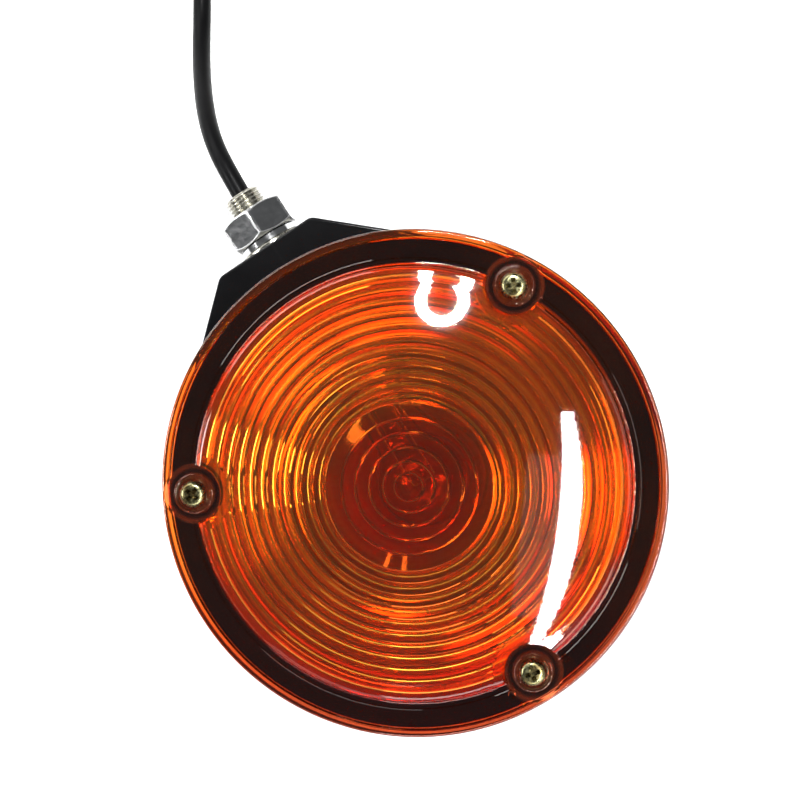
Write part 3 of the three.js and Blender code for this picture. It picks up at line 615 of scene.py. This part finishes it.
def curve_along(points, radius, resolution=6):
    curve = bpy.data.curves.new("curve", "CURVE")
    curve.dimensions = "3D"
    curve.bevel_depth = radius * MM
    curve.bevel_resolution = resolution
    curve.use_fill_caps = True
    curve.resolution_u = 6
    spline = curve.splines.new("NURBS")
    spline.points.add(len(points) - 1)
    for knot, p in zip(spline.points, points):
        knot.co = (*(Vector(p) * MM), 1)
    spline.order_u = 4
    spline.use_endpoint_u = True
    return curve


def bundle_loop(reach, across, thickness, steps=10):
    """The closed outline, outer and inner, of a strap drawn round two cords side by side."""
    outlines = []
    for radius in (reach + thickness, reach):
        right = arc((across, 0), radius, -90, 90, steps)
        outlines.append(right + arc((-across, 0), radius, 90, 270, steps))
    return outlines


def tie_mesh():
    """A nylon strap round the two turns, with its lock."""
    half = 2.3
    outer, inner = bundle_loop(CABLE_RADIUS + 0.05, COIL_PITCH / 2, 0.7)
    count = len(outer)
    points = []
    for outline in (outer, inner):
        for side in (-half, half):
            points += [(x, side, z) for x, z in outline]
    faces = []
    for k in range(count):
        n = (k + 1) % count
        rows = [r * count for r in range(4)]
        faces.append((rows[0] + k, rows[0] + n, rows[1] + n, rows[1] + k))
        faces.append((rows[2] + k, rows[3] + k, rows[3] + n, rows[2] + n))
        faces.append((rows[0] + k, rows[2] + k, rows[2] + n, rows[0] + n))
        faces.append((rows[1] + k, rows[1] + n, rows[3] + n, rows[3] + k))
    strap = mesh_of(points, faces, 40)
    lock = moved(box_mesh(4.6, 6.2, 1.6, 0.5), shift(0.4, 0, CABLE_RADIUS + 0.9))
    return plus(strap, lock)


def box_mesh(width, depth, height, edge):
    """A block with rounded edges, centred."""
    work = bmesh.new()
    bmesh.ops.create_cube(work, size=1)
    bmesh.ops.scale(work, vec=Vector((width, depth, height)) * MM, verts=work.verts)
    bmesh.ops.bevel(work, geom=work.edges, offset=edge * MM, segments=3, profile=0.5, affect="EDGES")
    mesh = bpy.data.meshes.new("mesh")
    work.to_mesh(mesh)
    work.free()
    return tidied(mesh, 40)


def add_cable():
    lead_in = [(27.6, 163.3, 3.15), (30.7, 168.2, 3.2), (33.4, 172.6, 3.25)]
    turns = [coil_point(15 * k) for k in range(COIL_TURNS * 24 + 1)]
    line = CABLE_ROUTE + lead_in + turns
    jacket = curve_along(line, CABLE_RADIUS)
    cable = piece("cable_jacket", jacket, CABLE, "lamp", "cable_black", "cable", "cable_coil")
    radius = COIL_OUTER_RUN - COIL_PITCH * (TIE_PLACE / 360 + 0.5)
    heading = COIL_START - TIE_PLACE
    x = COIL_CENTRE[0] + radius * math.cos(math.radians(heading))
    y = COIL_CENTRE[1] + radius * math.sin(math.radians(heading))
    place = shift(x, y, COIL_HEIGHT) @ turn(heading, "Z")
    tie = piece("coil_strap", moved(tie_mesh(), place), TIE, "lamp", "tie_black", "coil_tie")
    ends = add_core_ends()


def sleeve_outline():
    return [
        (0, 0.3), (1.15, 0), (1.5, 0.1), (1.9, 0.9), (2.2, 2), (2.3, 3.2), (2.3, 8.7), (2.1, 9), (0, 9),
    ]


def pin_outline():
    return [
        (0, 0), (1.7, 0), (1.9, 0.3), (1.9, 4.0), (1.6, 4.6), (1.42, 5.1), (1.42, 5.7), (1.62, 6.2),
        (1.9, 6.8), (1.85, 7.6), (1.5, 8.3), (0.9, 8.8), (0, 9),
    ]


def add_core_ends():
    """The two cores come out of the jacket inside the coil and end in bullet connectors."""
    swing = math.radians(CORE_SWING)
    shown = []
    for name, tone, core_slot, seat, aim, side in (
        ("live", BROWN_CORE, "core_brown", (6.6, -10.2), 176, 1),
        ("earth", WHITE_CORE, "core_white", (6.8, -2.9), 168, -1),
    ):
        def swung(x, y):
            return (
                COIL_CENTRE[0] + x * math.cos(swing) - y * math.sin(swing),
                COIL_CENTRE[1] + x * math.sin(swing) + y * math.cos(swing),
            )
        jacket_end = coil_point(COIL_TURNS * 360)
        before = coil_point(COIL_TURNS * 360 - 8)
        ahead = (Vector(jacket_end) - Vector(before)).normalized()
        across = Vector((-ahead.y, ahead.x, 0)) * side
        first = Vector(jacket_end) + across * -1.0 - ahead * 1.5
        second = Vector(jacket_end) + across * -1.1 + ahead * 2.5
        bend = Vector((*swung(11.9 if side > 0 else 11.4, -9.9 if side > 0 else -4.9), 2.4))
        heading = math.radians(aim + CORE_SWING)
        way = Vector((math.cos(heading), math.sin(heading), 0))
        end = Vector((*swung(*seat), 2.4))
        line = [first, second, bend, end - way * 1.2, end + way * 1.5]
        core = piece(f"{name}_core_wire", curve_along(line, 0.95, 4), tone, "lamp", core_slot, f"{name}_core")
        lay = shift(end.x + way.x * 0.4, end.y + way.y * 0.4, end.z)
        lay = lay @ turn(aim + CORE_SWING, "Z") @ turn(90, "Y")
        cover = moved(lathe(sleeve_outline(), 32), lay)
        node = f"{name}_bullet_sleeve"
        cover = piece(f"{name}_vinyl_sleeve", cover, RED_SLEEVE, "lamp", "sleeve_red", node)
        tip = moved(lathe(pin_outline(), 32), shift(way.x * 9.1, way.y * 9.1, 0) @ lay)
        tip = piece(f"{name}_bullet_tip", tip, BRASS, "lamp", "cap_brass", f"{name}_bullet_pin")
        shown += [core, cover, tip]
    return shown


add_cable()


# ---------- floor and light ----------
def add_floor():
    mesh = bpy.data.meshes.new("floor")
    reach = 3.0
    corners = [(-reach, -reach, 0), (reach, -reach, 0), (reach, reach, 0), (-reach, reach, 0)]
    mesh.from_pydata(corners, [], [(0, 1, 2, 3)])
    floor = bpy.data.objects.new("floor", mesh)
    bpy.context.collection.objects.link(floor)
    look = Finish("pale_floor", roughness=0.9)
    look.set("Base Color", look.mix(look.noise(6, 2), rgb(0.86, 0.86, 0.86), rgb(0.88, 0.88, 0.88)))
    mesh.materials.append(look.material)


def add_lamp(name, place, target, along, width, height, power):
    """A flat light that faces a point, its width along the given direction."""
    data = bpy.data.lights.new(name, "AREA")
    data.shape = "RECTANGLE"
    data.size = width * MM
    data.size_y = height * MM
    data.energy = power
    light = bpy.data.objects.new(name, data)
    bpy.context.collection.objects.link(light)
    aim = (Vector(place) - Vector(target)).normalized()
    aimed(light, place, target, aim.cross(Vector(along)))


def add_ring_light():
    """An open ring of short flat lights."""
    middle = Vector((185, 274, 596))
    target = Vector((32, 33, 68))
    aim = (middle - target).normalized()
    gap_way = Vector((0.05, 0.083, -0.05))
    gap_way = (gap_way - aim * gap_way.dot(aim)).normalized()
    side = aim.cross(gap_way)
    radius, stroke, opening, count = 43.5, 20, 84, 18
    length = 1.12 * math.radians(360 - opening) * radius / count
    for k in range(count):
        angle = math.radians(opening / 2 + (360 - opening) * (k + 0.5) / count)
        out = gap_way * math.cos(angle) + side * math.sin(angle)
        along = side * math.cos(angle) - gap_way * math.sin(angle)
        place = middle + out * radius
        add_lamp(f"ring_light_{k}", place, place - aim * 100, along, length, stroke, 0.28)


def add_strip_light():
    """A bowed strip of flat lights, narrower at its ends, with dim ones beside it."""
    middle = Vector((144, -288, 709))
    target = Vector((24, -31, 69))
    aim = (middle - target).normalized()
    along = Vector((0.647, 0.737, 0.193)).normalized()
    side = aim.cross(along).normalized()
    bow = (-24, -6, 8, 17, 23, 26, 26, 24, 17, 6)
    widths = (20, 30, 40, 46, 49, 49, 49, 46, 40, 30)
    length, count = 580, 24
    for k in range(count):
        share = k / (count - 1)
        offset, width = eased(bow, share), eased(widths, share)
        place = middle + along * length * (share - 0.5) - side * offset
        power = 0.29 * width / 45
        add_lamp(f"strip_light_{k}", place, place - aim * 100, along, length / count * 1.15, width, power)
    for k, share in enumerate((1, 0.75, 0.5)):
        veil = middle - along * 10 + side * 30
        add_lamp(f"veil_light_{k}", veil, veil - aim * 100, along, 400 * share, 110 * share, 0.1)


def eased(values, share):
    """The value at a share of the way along evenly spaced ones."""
    spot = share * (len(values) - 1)
    low = min(int(spot), len(values) - 2)
    return values[low] + (values[low + 1] - values[low]) * (spot - low)


def add_lights():
    add_ring_light()
    add_strip_light()
    middle = (0, 20, MID)
    add_lamp("high_softbox", (-499, 321, 407), middle, (0.54, 0.84, 0), 260, 200, 3.5)
    add_lamp("low_softbox", (-298, -464, 467), middle, (0.84, -0.54, 0), 260, 260, 1.5)
    add_lamp("left_softbox", (-900, -620, 560), middle, (0, 1, 0), 800, 500, 2)
    add_lamp("right_softbox", (950, -460, 500), middle, (0, 1, 0), 800, 500, 2)
    add_lamp("far_softbox", (-150, 1000, 520), middle, (1, 0, 0), 900, 500, 8)
    add_lamp("near_softbox", (100, -1000, 520), middle, (1, 0, 0), 900, 500, 8)


add_floor()
add_lights()
world = bpy.data.worlds.new("world")
bpy.context.scene.world = world
world.use_nodes = True
sky = world.node_tree.nodes["Background"]
sky.inputs["Color"].default_value = (0.97, 0.985, 1.0, 1)
sky.inputs["Strength"].default_value = 0.15
bpy.context.scene.view_settings.view_transform = "Standard"


# ---------- lenses ----------
def dome_height(radius, inset=0.0):
    """The dome's smooth height over the gasket seat, out to its shoulder."""
    edge = DOME_RADIUS - SHOULDER - inset
    crown = LENS_HEIGHT - inset
    low = SHOULDER_HEIGHT - inset
    if radius <= BULLSEYE:
        return crown
    fall = (radius**2 - BULLSEYE**2) / (edge**2 - BULLSEYE**2)
    return crown - (crown - low) * fall


def lens_outer():
    edge = DOME_RADIUS - SHOULDER
    outline = [(0, LENS_HEIGHT), (10, LENS_HEIGHT), (18, LENS_HEIGHT - 0.01)]
    outline += [(r, dome_height(r) - 0.05 * max(0, 1 - abs(r - BULLSEYE) / 2)) for r in (19.6, 20.6, 21.6)]
    steps = 22
    spots = [23 + (edge - 23) * k / steps for k in range(steps)]
    outline += [(radius, dome_height(radius)) for radius in spots]
    outline += arc((edge, SHOULDER_HEIGHT - SHOULDER), SHOULDER, 78, 0, 7)
    fillet = 0.7
    outline += arc((DOME_RADIUS + fillet, FLANGE + fillet), fillet, 180, 270, 4)
    outline += [(56.25, FLANGE), (56.5, FLANGE + 0.14), (56.75, FLANGE)]
    outline += [(LIP_INNER - 0.3, FLANGE), (LIP_INNER, FLANGE + 0.3), (LIP_INNER, LIP_TOP - 0.4)]
    outline += arc((LIP_INNER + 0.4, LIP_TOP - 0.4), 0.4, 180, 90, 3)
    outline += arc((LENS_RADIUS - 0.8, LIP_TOP - 0.8), 0.8, 90, 0, 5)
    outline += [(LENS_RADIUS, -SKIRT_DEPTH + 0.25), (LENS_RADIUS - 0.25, -SKIRT_DEPTH)]
    outline += [(SKIRT_INNER, -SKIRT_DEPTH), (SKIRT_INNER, 0), (0, 0)]
    return lathe(outline)


def flute_height(radius):
    """The fluted inner face: thin rings in the bullseye and round flutes outside it."""
    height = dome_height(radius, LENS_WALL)
    if radius < BULLSEYE - 0.4:
        for ring in BULLSEYE_RINGS:
            height += 0.35 * max(0, 1 - abs(radius - ring) / 0.4)
        return height
    share = ((radius - BULLSEYE) / FLUTE_STEP) % 1
    return height + FLUTE_DEPTH * (1 - math.sin(math.pi * share)) + 0.16 * max(0, 1 - abs(share - 0.5) / 0.08)


def lens_inner():
    """The hollow under the lens, to be cut out of it."""
    outline = [(0, dome_height(0, LENS_WALL))]
    for ring in BULLSEYE_RINGS:
        outline += [(r, flute_height(r)) for r in (ring - 0.4, ring, ring + 0.4)]
    shares = (0, 0.06, 0.14, 0.24, 0.34, 0.42, 0.46, 0.5, 0.54, 0.58, 0.66, 0.76, 0.86, 0.94)
    for k in range(FLUTE_COUNT):
        for share in shares:
            radius = BULLSEYE + FLUTE_STEP * (k + share)
            outline.append((radius, flute_height(radius)))
    outline += arc((FLUTE_EDGE, SHOULDER_HEIGHT - LENS_WALL - SHOULDER), SHOULDER, 88, 0, 5)
    outline += [(DOME_RADIUS - LENS_WALL, -1), (0, -1)]
    return lathe(outline)


def seat_outline():
    """A screw's raised seat, dished inside a fine round rim."""
    top = FLANGE + SEAT_RISE
    edge = 0.45
    rim = arc((SEAT_RADIUS - edge, top - edge), edge, 0, 150, 6)
    dish = [(SEAT_RADIUS - 1.1, top - 0.35), (3.4, top - edge), (0, top - edge)]
    return [(0, 1), (SEAT_RADIUS, 1)] + rim + dish


def lens_mesh():
    outer, inner = lens_outer(), lens_inner()
    for x, y in screw_places():
        pocket = moved(rod(POCKET_RADIUS, FLANGE, LENS_HEIGHT + 2, 0.5, 72), shift(x, y, 0))
        seat = moved(lathe(seat_outline(), 96), shift(x, y, 0))
        wall = moved(rod(POCKET_RADIUS + LENS_WALL, -2, LENS_HEIGHT + 2, 0.3, 72), shift(x, y, 0))
        outer = plus(less(outer, pocket), seat)
        inner = less(inner, wall)
    for x, y in FLANGE_PIPS:
        ring = [(0.55, 2.6), (1.05, 2.6), (1.05, 3.25), (0.95, 3.35), (0.7, 3.35), (0.55, 3.2)]
        outer = plus(outer, moved(lathe(ring, 32, ring=True), shift(x, y, 0)))
    lens = less(outer, inner)
    for x, y in screw_places():
        lens = less(lens, moved(rod(SCREW_HOLE, -3, LENS_HEIGHT, 0.2, 32), shift(x, y, 0)))
    return tidied(lens, 28)


def screw_mesh():
    """Pan head with a cross recess, on a threaded shank; its head sits on height 0."""
    head = [(0, -14), (0.7, -14), (1.55, -11.6), (1.6, -11.2)]
    for k in range(18):
        foot = -11 + 0.6 * k
        head += [(1.6, foot), (1.22, foot + 0.3)]
    head += [(1.6, 0), (SCREW_HEAD - 0.15, 0), (SCREW_HEAD, 0.2), (SCREW_HEAD, 0.8)]
    head += arc((SCREW_HEAD - 1.6, 0.8), 1.6, 8, 66, 6)
    head += [(1.6, 2.34), (0.9, 2.38), (0, 2.39)]
    screw = lathe(head, 40)
    for angle in (0, 90):
        blade = tapered_blade(4.3, 1.15, 2.2)
        screw = less(screw, moved(blade, turn(angle, "Z"), shift(0, 0, 2.55)))
    return tidied(screw, 34)


def tapered_blade(length, width, depth):
    """A driver blade's wedge, narrow at its foot, hanging from height 0."""
    top, foot = (length / 2, width / 2), (length / 5, width / 2.6)
    signs = ((-1, -1), (1, -1), (1, 1), (-1, 1))
    points = []
    for (x, y), z in ((top, 0.2), (foot, -depth)):
        points += [(x * across, y * along, z) for across, along in signs]
    faces = [(0, 1, 2, 3), (4, 5, 6, 7), (0, 1, 5, 4), (1, 2, 6, 5), (2, 3, 7, 6), (3, 0, 4, 7)]
    return mesh_of(points, faces)


def gasket_mesh():
    gasket = sleeve(RIM_INNER, GASKET_OUTER, 0, GASKET_THICKNESS, 0.1, ROUND)
    for x, y in screw_places():
        lobe = moved(rod(7.0, 0, GASKET_THICKNESS, 0.1, 64), shift(x, y, 0))
        hole = moved(rod(SCREW_HOLE, -1, 3, 0.1, 32), shift(x, y, 0))
        gasket = less(plus(gasket, lobe), hole)
    trim = rod(GASKET_OUTER, -0.5, GASKET_THICKNESS + 0.5, 0.1, ROUND)
    return tidied(combined(gasket, trim, "INTERSECT"))


def reflector_mesh():
    rim_foot = HOUSING_HALF - 2.3
    hole, hole_height, inner_rim, thickness = 27, 13.2, 52.2, 0.8
    under = []
    steps = 24
    for k in range(steps + 1):
        radius = hole + (inner_rim - hole) * k / steps
        rise = ((radius - hole) / (inner_rim - hole)) ** 1.35
        under.append((radius, hole_height + (rim_foot - hole_height) * rise))
    over = [(radius, height + thickness) for radius, height in reversed(under)]
    rim = [
        (55.4, rim_foot), (55.5, rim_foot + 0.1),
        (55.5, rim_foot + thickness - 0.1), (55.4, rim_foot + thickness),
    ]
    reflector = lathe(under + rim + over, ring=True)
    for x, y in screw_places():
        reflector = less(reflector, moved(rod(7.8, -5, 40, 0.2, 64), shift(x, y, 0)))
    return tidied(reflector)


def add_face(side, place, colour, lens_slot):
    lens = moved(LENS.copy(), place @ shift(0, 0, LENS_SEAT))
    piece(f"{side}_lens_moulding", lens, colour, "lamp", lens_slot, f"{side}_lens")
    gasket = moved(GASKET.copy(), place @ shift(0, 0, HOUSING_HALF + 0.2))
    piece(f"{side}_gasket_ring", gasket, RUBBER, "lamp", "gasket_rubber", f"{side}_gasket")
    reflector = moved(DISH.copy(), place)
    piece(f"{side}_reflector_dish", reflector, REFLECTOR, "lamp", "reflector_bright", f"{side}_reflector")
    seat = LENS_SEAT + FLANGE + SEAT_RISE - SEAT_DISH
    for k, (x, y) in enumerate(screw_places()):
        screw = moved(SCREW.copy(), turn(SCREW_TURNS[k], "Z"), place @ shift(x, y, seat))
        name = f"{side}_lens_screw_{k + 1}"
        piece(f"{side}_pan_screw_{k + 1}", screw, YELLOW_ZINC, "lamp", "screw_yellow_zinc", name)


LENS, GASKET, DISH, SCREW = lens_mesh(), gasket_mesh(), reflector_mesh(), screw_mesh()
add_face("front", FRONT, AMBER, "amber_lens")
add_face("rear", REAR, RED, "red_lens")


# ---------- housing ----------
def pedestal_outline(inset):
    """The pedestal's outline, drawn in: up one side from the drum, over its flat and down the other."""
    half, fillet, steps = 14.0, 2.2, 8
    spot = math.atan2(PEDESTAL_REACH, half) - math.acos(HOUSING_RADIUS / math.hypot(half, PEDESTAL_REACH))
    along = Vector((math.sin(spot), -math.cos(spot)))
    foot = Vector((math.cos(spot), math.sin(spot))) * (HOUSING_RADIUS - inset)
    top = PEDESTAL_REACH - inset
    corner = Vector(((HOUSING_RADIUS - inset - top * math.sin(spot)) / math.cos(spot), top))
    trim = (fillet - inset) * 0.55
    first = corner + along * trim
    last = corner - Vector((trim, 0))
    right = [foot]
    for k in range(steps + 1):
        share = k / steps
        right.append(first * (1 - share) ** 2 + corner * 2 * share * (1 - share) + last * share**2)
    return right + [Vector((-p.x, p.y)) for p in reversed(right)]


def pedestal_mesh():
    depth, edge, steps = 19.0, 0.7, 6
    rows = []
    for k in range(steps + 1):
        angle = math.pi / 2 * k / steps
        rows.append((edge * (1 - math.cos(angle)), depth - edge * (1 - math.sin(angle))))
    rows = [(inset, -height) for inset, height in reversed(rows)] + rows
    points = []
    for inset, height in rows:
        outline = pedestal_outline(inset)
        points += [(p.x, p.y, height) for p in outline]
    count = len(outline)
    faces = [tuple(range(count)), tuple(range(len(points) - count, len(points)))]
    for row in range(len(rows) - 1):
        for k in range(count):
            n = (k + 1) % count
            faces.append((row * count + k, row * count + n, (row + 1) * count + n, (row + 1) * count + k))
    return mesh_of(points, faces)


def housing_mesh():
    half = HOUSING_HALF
    edge = 0.8
    drum_outline = [(0, -half)] + arc((HOUSING_RADIUS - edge, -half + edge), edge, -90, 0, 6)
    drum_outline += arc((HOUSING_RADIUS - edge, half - edge), edge, 0, 90, 6) + [(0, half)]
    rim, ledge = half - 2.5, half - 4.0
    cavity = lathe([
        (0, -half - 1), (RIM_INNER, -half - 1), (RIM_INNER, -rim), (LEDGE_INNER, -rim), (LEDGE_INNER, -ledge),
        (CAVITY_RADIUS, -ledge), (CAVITY_RADIUS, ledge), (LEDGE_INNER, ledge), (LEDGE_INNER, rim),
        (RIM_INNER, rim), (RIM_INNER, half + 1), (0, half + 1),
    ])
    housing = plus(lathe(drum_outline), pedestal_mesh())
    pocket = moved(box_mesh(22, 19, 26, 0.6), shift(0, 57.5, 0))
    stud_hole = moved(rod(5.3, 60, 75, 0.2), turn(-90, "X"))
    housing = less(housing, cavity, pocket, stud_hole)
    inside = rod(HOUSING_RADIUS - 0.05, 0.05 - half, half - 0.05, edge, ROUND)
    bosses = ((5.0, 0.1 - half, half - 0.1), (7.4, 0.1 - half, 4 - half), (7.4, half - 4, half - 0.1))
    for x, y in screw_places():
        for radius, foot, top in bosses:
            boss = moved(rod(radius, foot, top, 0.2, 64), shift(x, y, 0))
            housing = plus(housing, combined(boss, inside.copy(), "INTERSECT"))
    for x, y in screw_places():
        for foot in (-half - 1, 7.0):
            housing = less(housing, moved(rod(SCREW_HOLE, foot, foot + 16, 0.2, 32), shift(x, y, 0)))
    return tidied(moved(housing, FRONT), 24, joined=True)


piece("housing_shell", housing_mesh(), PLASTIC, "lamp", "housing_black", "housing")


# ---------- stud, nuts and washers ----------
def thread_mesh():
    """A hollow stud with a true helical thread."""
    sides, per_turn, pitch, depth = 72, 10, 1.0, 0.58
    rows = int((STUD_END - STUD_START) / pitch * per_turn) + 1
    points, faces = [], []
    for row in range(rows):
        along = STUD_START + pitch * row / per_turn
        from_end = min(along - STUD_START, STUD_END - along)
        for k in range(sides):
            phase = (along / pitch - k / sides) % 1
            groove = max(0.0, 1 - abs(phase - 0.5) / 0.42)
            radius = STUD_RADIUS - depth * min(1, groove * 1.15)
            radius = min(radius, STUD_RADIUS - 0.7 + from_end)
            angle = 2 * math.pi * k / sides
            points.append((radius * math.cos(angle), radius * math.sin(angle), along))
    for row in range(rows - 1):
        for k in range(sides):
            n = (k + 1) % sides
            faces.append((row * sides + k, row * sides + n, (row + 1) * sides + n, (row + 1) * sides + k))
    inner = []
    flare = 0.25
    steps = ((STUD_BORE + flare, STUD_END), (STUD_BORE, STUD_END - flare), (STUD_BORE, STUD_START))
    for bore, along in steps:
        inner.append(len(points))
        for k in range(sides):
            angle = 2 * math.pi * k / sides
            points.append((bore * math.cos(angle), bore * math.sin(angle), along))
    last = (rows - 1) * sides
    loops = [last, *inner, 0]
    for low, high in zip(loops, loops[1:]):
        for k in range(sides):
            n = (k + 1) % sides
            faces.append((low + k, low + n, high + n, high + k))
    return mesh_of(points, faces, 50)


def nut_mesh(height):
    """A hexagon nut, its corners turned off at both ends and its bore countersunk."""
    reach = NUT_FLATS / math.sqrt(3)
    spots = [math.radians(60 * k) for k in range(6)]
    corners = [(reach * math.sin(spot), reach * math.cos(spot)) for spot in spots]
    points = [(x, y, z) for z in (0, height) for x, y in corners]
    faces = [tuple(range(6)), tuple(range(6, 12))]
    faces += [(k, (k + 1) % 6, (k + 1) % 6 + 6, k + 6) for k in range(6)]
    flat, corner = NUT_FLATS / 2 - NUT_CHAMFER, reach + 0.5
    drop = (corner - flat) * NUT_SLOPE
    outline = [(0, 0), (flat, 0), (corner, drop), (corner, height - drop), (flat, height), (0, height)]
    cone = lathe(outline, 96)
    flare = 0.5
    bore = lathe([
        (0, -1), (NUT_BORE + flare + 1, -1), (NUT_BORE, flare), (NUT_BORE, height - flare),
        (NUT_BORE + flare + 1, height + 1), (0, height + 1),
    ], 96)
    nut = combined(mesh_of(points, faces), cone, "INTERSECT")
    return tidied(less(nut, bore), 20)


def lock_washer_mesh():
    ring = sleeve(NUT_BORE, LOCK_WASHER_OUTER, 0, WASHER_THICKNESS, 0.2, 96)
    split = moved(box_mesh(1.4, 8, 8, 0.1), turn(25, "Y"), shift(0, 9.5, WASHER_THICKNESS / 2))
    return tidied(less(ring, split), 40)


def add_stud_parts():
    lock_washer = lock_washer_mesh()
    washer = sleeve(NUT_BORE, WASHER_OUTER, 0, WASHER_THICKNESS, 0.25, 96)
    laid = [
        ("threaded_stud", thread_mesh(), 0, BRIGHT_ZINC, "lamp", "stud_zinc", "hollow_stud"),
        ("inner_jam_nut", nut_mesh(JAM_NUT_HEIGHT), JAM_NUT_FOOT, ZINC, "lamp", "nut_zinc", "stud_jam_nut"),
        ("plain_washer", washer, WASHER_FOOT, BRIGHT_ZINC, "lamp", "washer_zinc", "flat_washer"),
        ("split_washer", lock_washer, LOCK_WASHER_FOOT, ZINC, "washer_slide", "washer_zinc", "lock_washer"),
        ("hexagon_nut", nut_mesh(NUT_HEIGHT), NUT_FOOT, NUT_ZINC, "nut", "nut_zinc", "mounting_nut"),
    ]
    for name, mesh, along, look, body, material_slot, node in laid:
        mesh = rounded(mesh, NUT_EDGE) if "nut" in name else mesh
        piece(name, moved(mesh, ALONG_STUD @ shift(0, 0, along)), look, body, material_slot, node)


add_stud_parts()


# ---------- bulb and its holder ----------
def bulb_glass_mesh():
    radius, centre, neck = 12.5, -1.0, 6.3
    start = math.degrees(math.asin((neck + 1.2) / radius))
    steps = 30
    outside = arc((0, centre), radius, -90, 90 - start, steps)
    outside[0] = (0, centre - radius)
    shoulder = outside[-1][1]
    foot, wall = 23, 0.6
    outside += [(neck + 0.55, shoulder + 1.0), (neck + 0.12, shoulder + 2.2)]
    outside += [(neck, shoulder + 3.5), (neck, foot)]
    scale = (radius - wall) / radius
    inside = [(r * scale, centre + (y - centre) * scale) for r, y in outside[:steps + 1]]
    inside += [(neck - 0.05, shoulder + 1.0), (neck - 0.48, shoulder + 2.2)]
    inside += [(neck - wall, shoulder + 3.3), (neck - wall, foot)]
    return lathe(outside + inside[::-1], 72, crease=50)


def bulb_cap_mesh():
    cup = lathe([
        (6.9, 18.1), (7.0, 18), (7.4, 18), (7.5, 18.1), (7.5, 35.2), (7.3, 35.8), (6.8, 36), (2.6, 36),
        (2.6, 35.4), (6.6, 35.4), (6.9, 35.1),
    ], 72, ring=True)
    for angle in (90, 270):
        pin = rod(PIN_RADIUS, 7.2, 8.6, 0.2, 24)
        cup = plus(cup, moved(pin, turn(angle, "X"), shift(0, 0, PIN_PLACE)))
    return tidied(cup)


def add_bulb_and_holder():
    glass = moved(bulb_glass_mesh(), ALONG_STUD)
    piece("bulb_envelope", glass, BULB_GLASS, "bulb", "bulb_clear_glass", "bulb_glass")
    cap = moved(bulb_cap_mesh(), ALONG_STUD)
    piece("bulb_brass_cap", cap, BRASS, "bulb", "cap_brass", "bulb_cap")
    coil = []
    turns, per_turn, width, coil_radius = 10, 12, 5.2, 0.38
    for k in range(turns * per_turn + 1):
        angle = 2 * math.pi * k / per_turn
        x = width * (k / (turns * per_turn) - 0.5)
        coil.append((x, -1 + coil_radius * math.cos(angle), MID + coil_radius * math.sin(angle)))
    filament = curve_along(coil, 0.07, 2)
    piece("filament_coil", filament, TUNGSTEN, "bulb", "tungsten", "bulb_filament")


add_bulb_and_holder()

KEPT = {
    "bulb_tip_contact": SOLDER, "bulb_stem": BULB_GLASS, "bulb_lead_left": STEEL, "bulb_lead_right": STEEL,
    "holder_shell": STEEL, "holder_strap": STEEL, "plunger_disc": FIBRE, "plunger_contact": BRASS,
    "plunger_spring": STEEL, "holder_back_plate": FIBRE, "live_terminal": BRASS, "cable_inner": CABLE,
    "cable_ferrule": STEEL, "live_wire": BROWN_CORE, "earth_wire": WHITE_CORE, "earth_tag": BRASS,
    "earth_rivet": ZINC,
}
for node, look in KEPT.items():
    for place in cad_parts[node].material_slots:
        place.material = look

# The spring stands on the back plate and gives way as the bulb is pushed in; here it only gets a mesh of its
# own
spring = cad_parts["plunger_spring"]
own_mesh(spring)
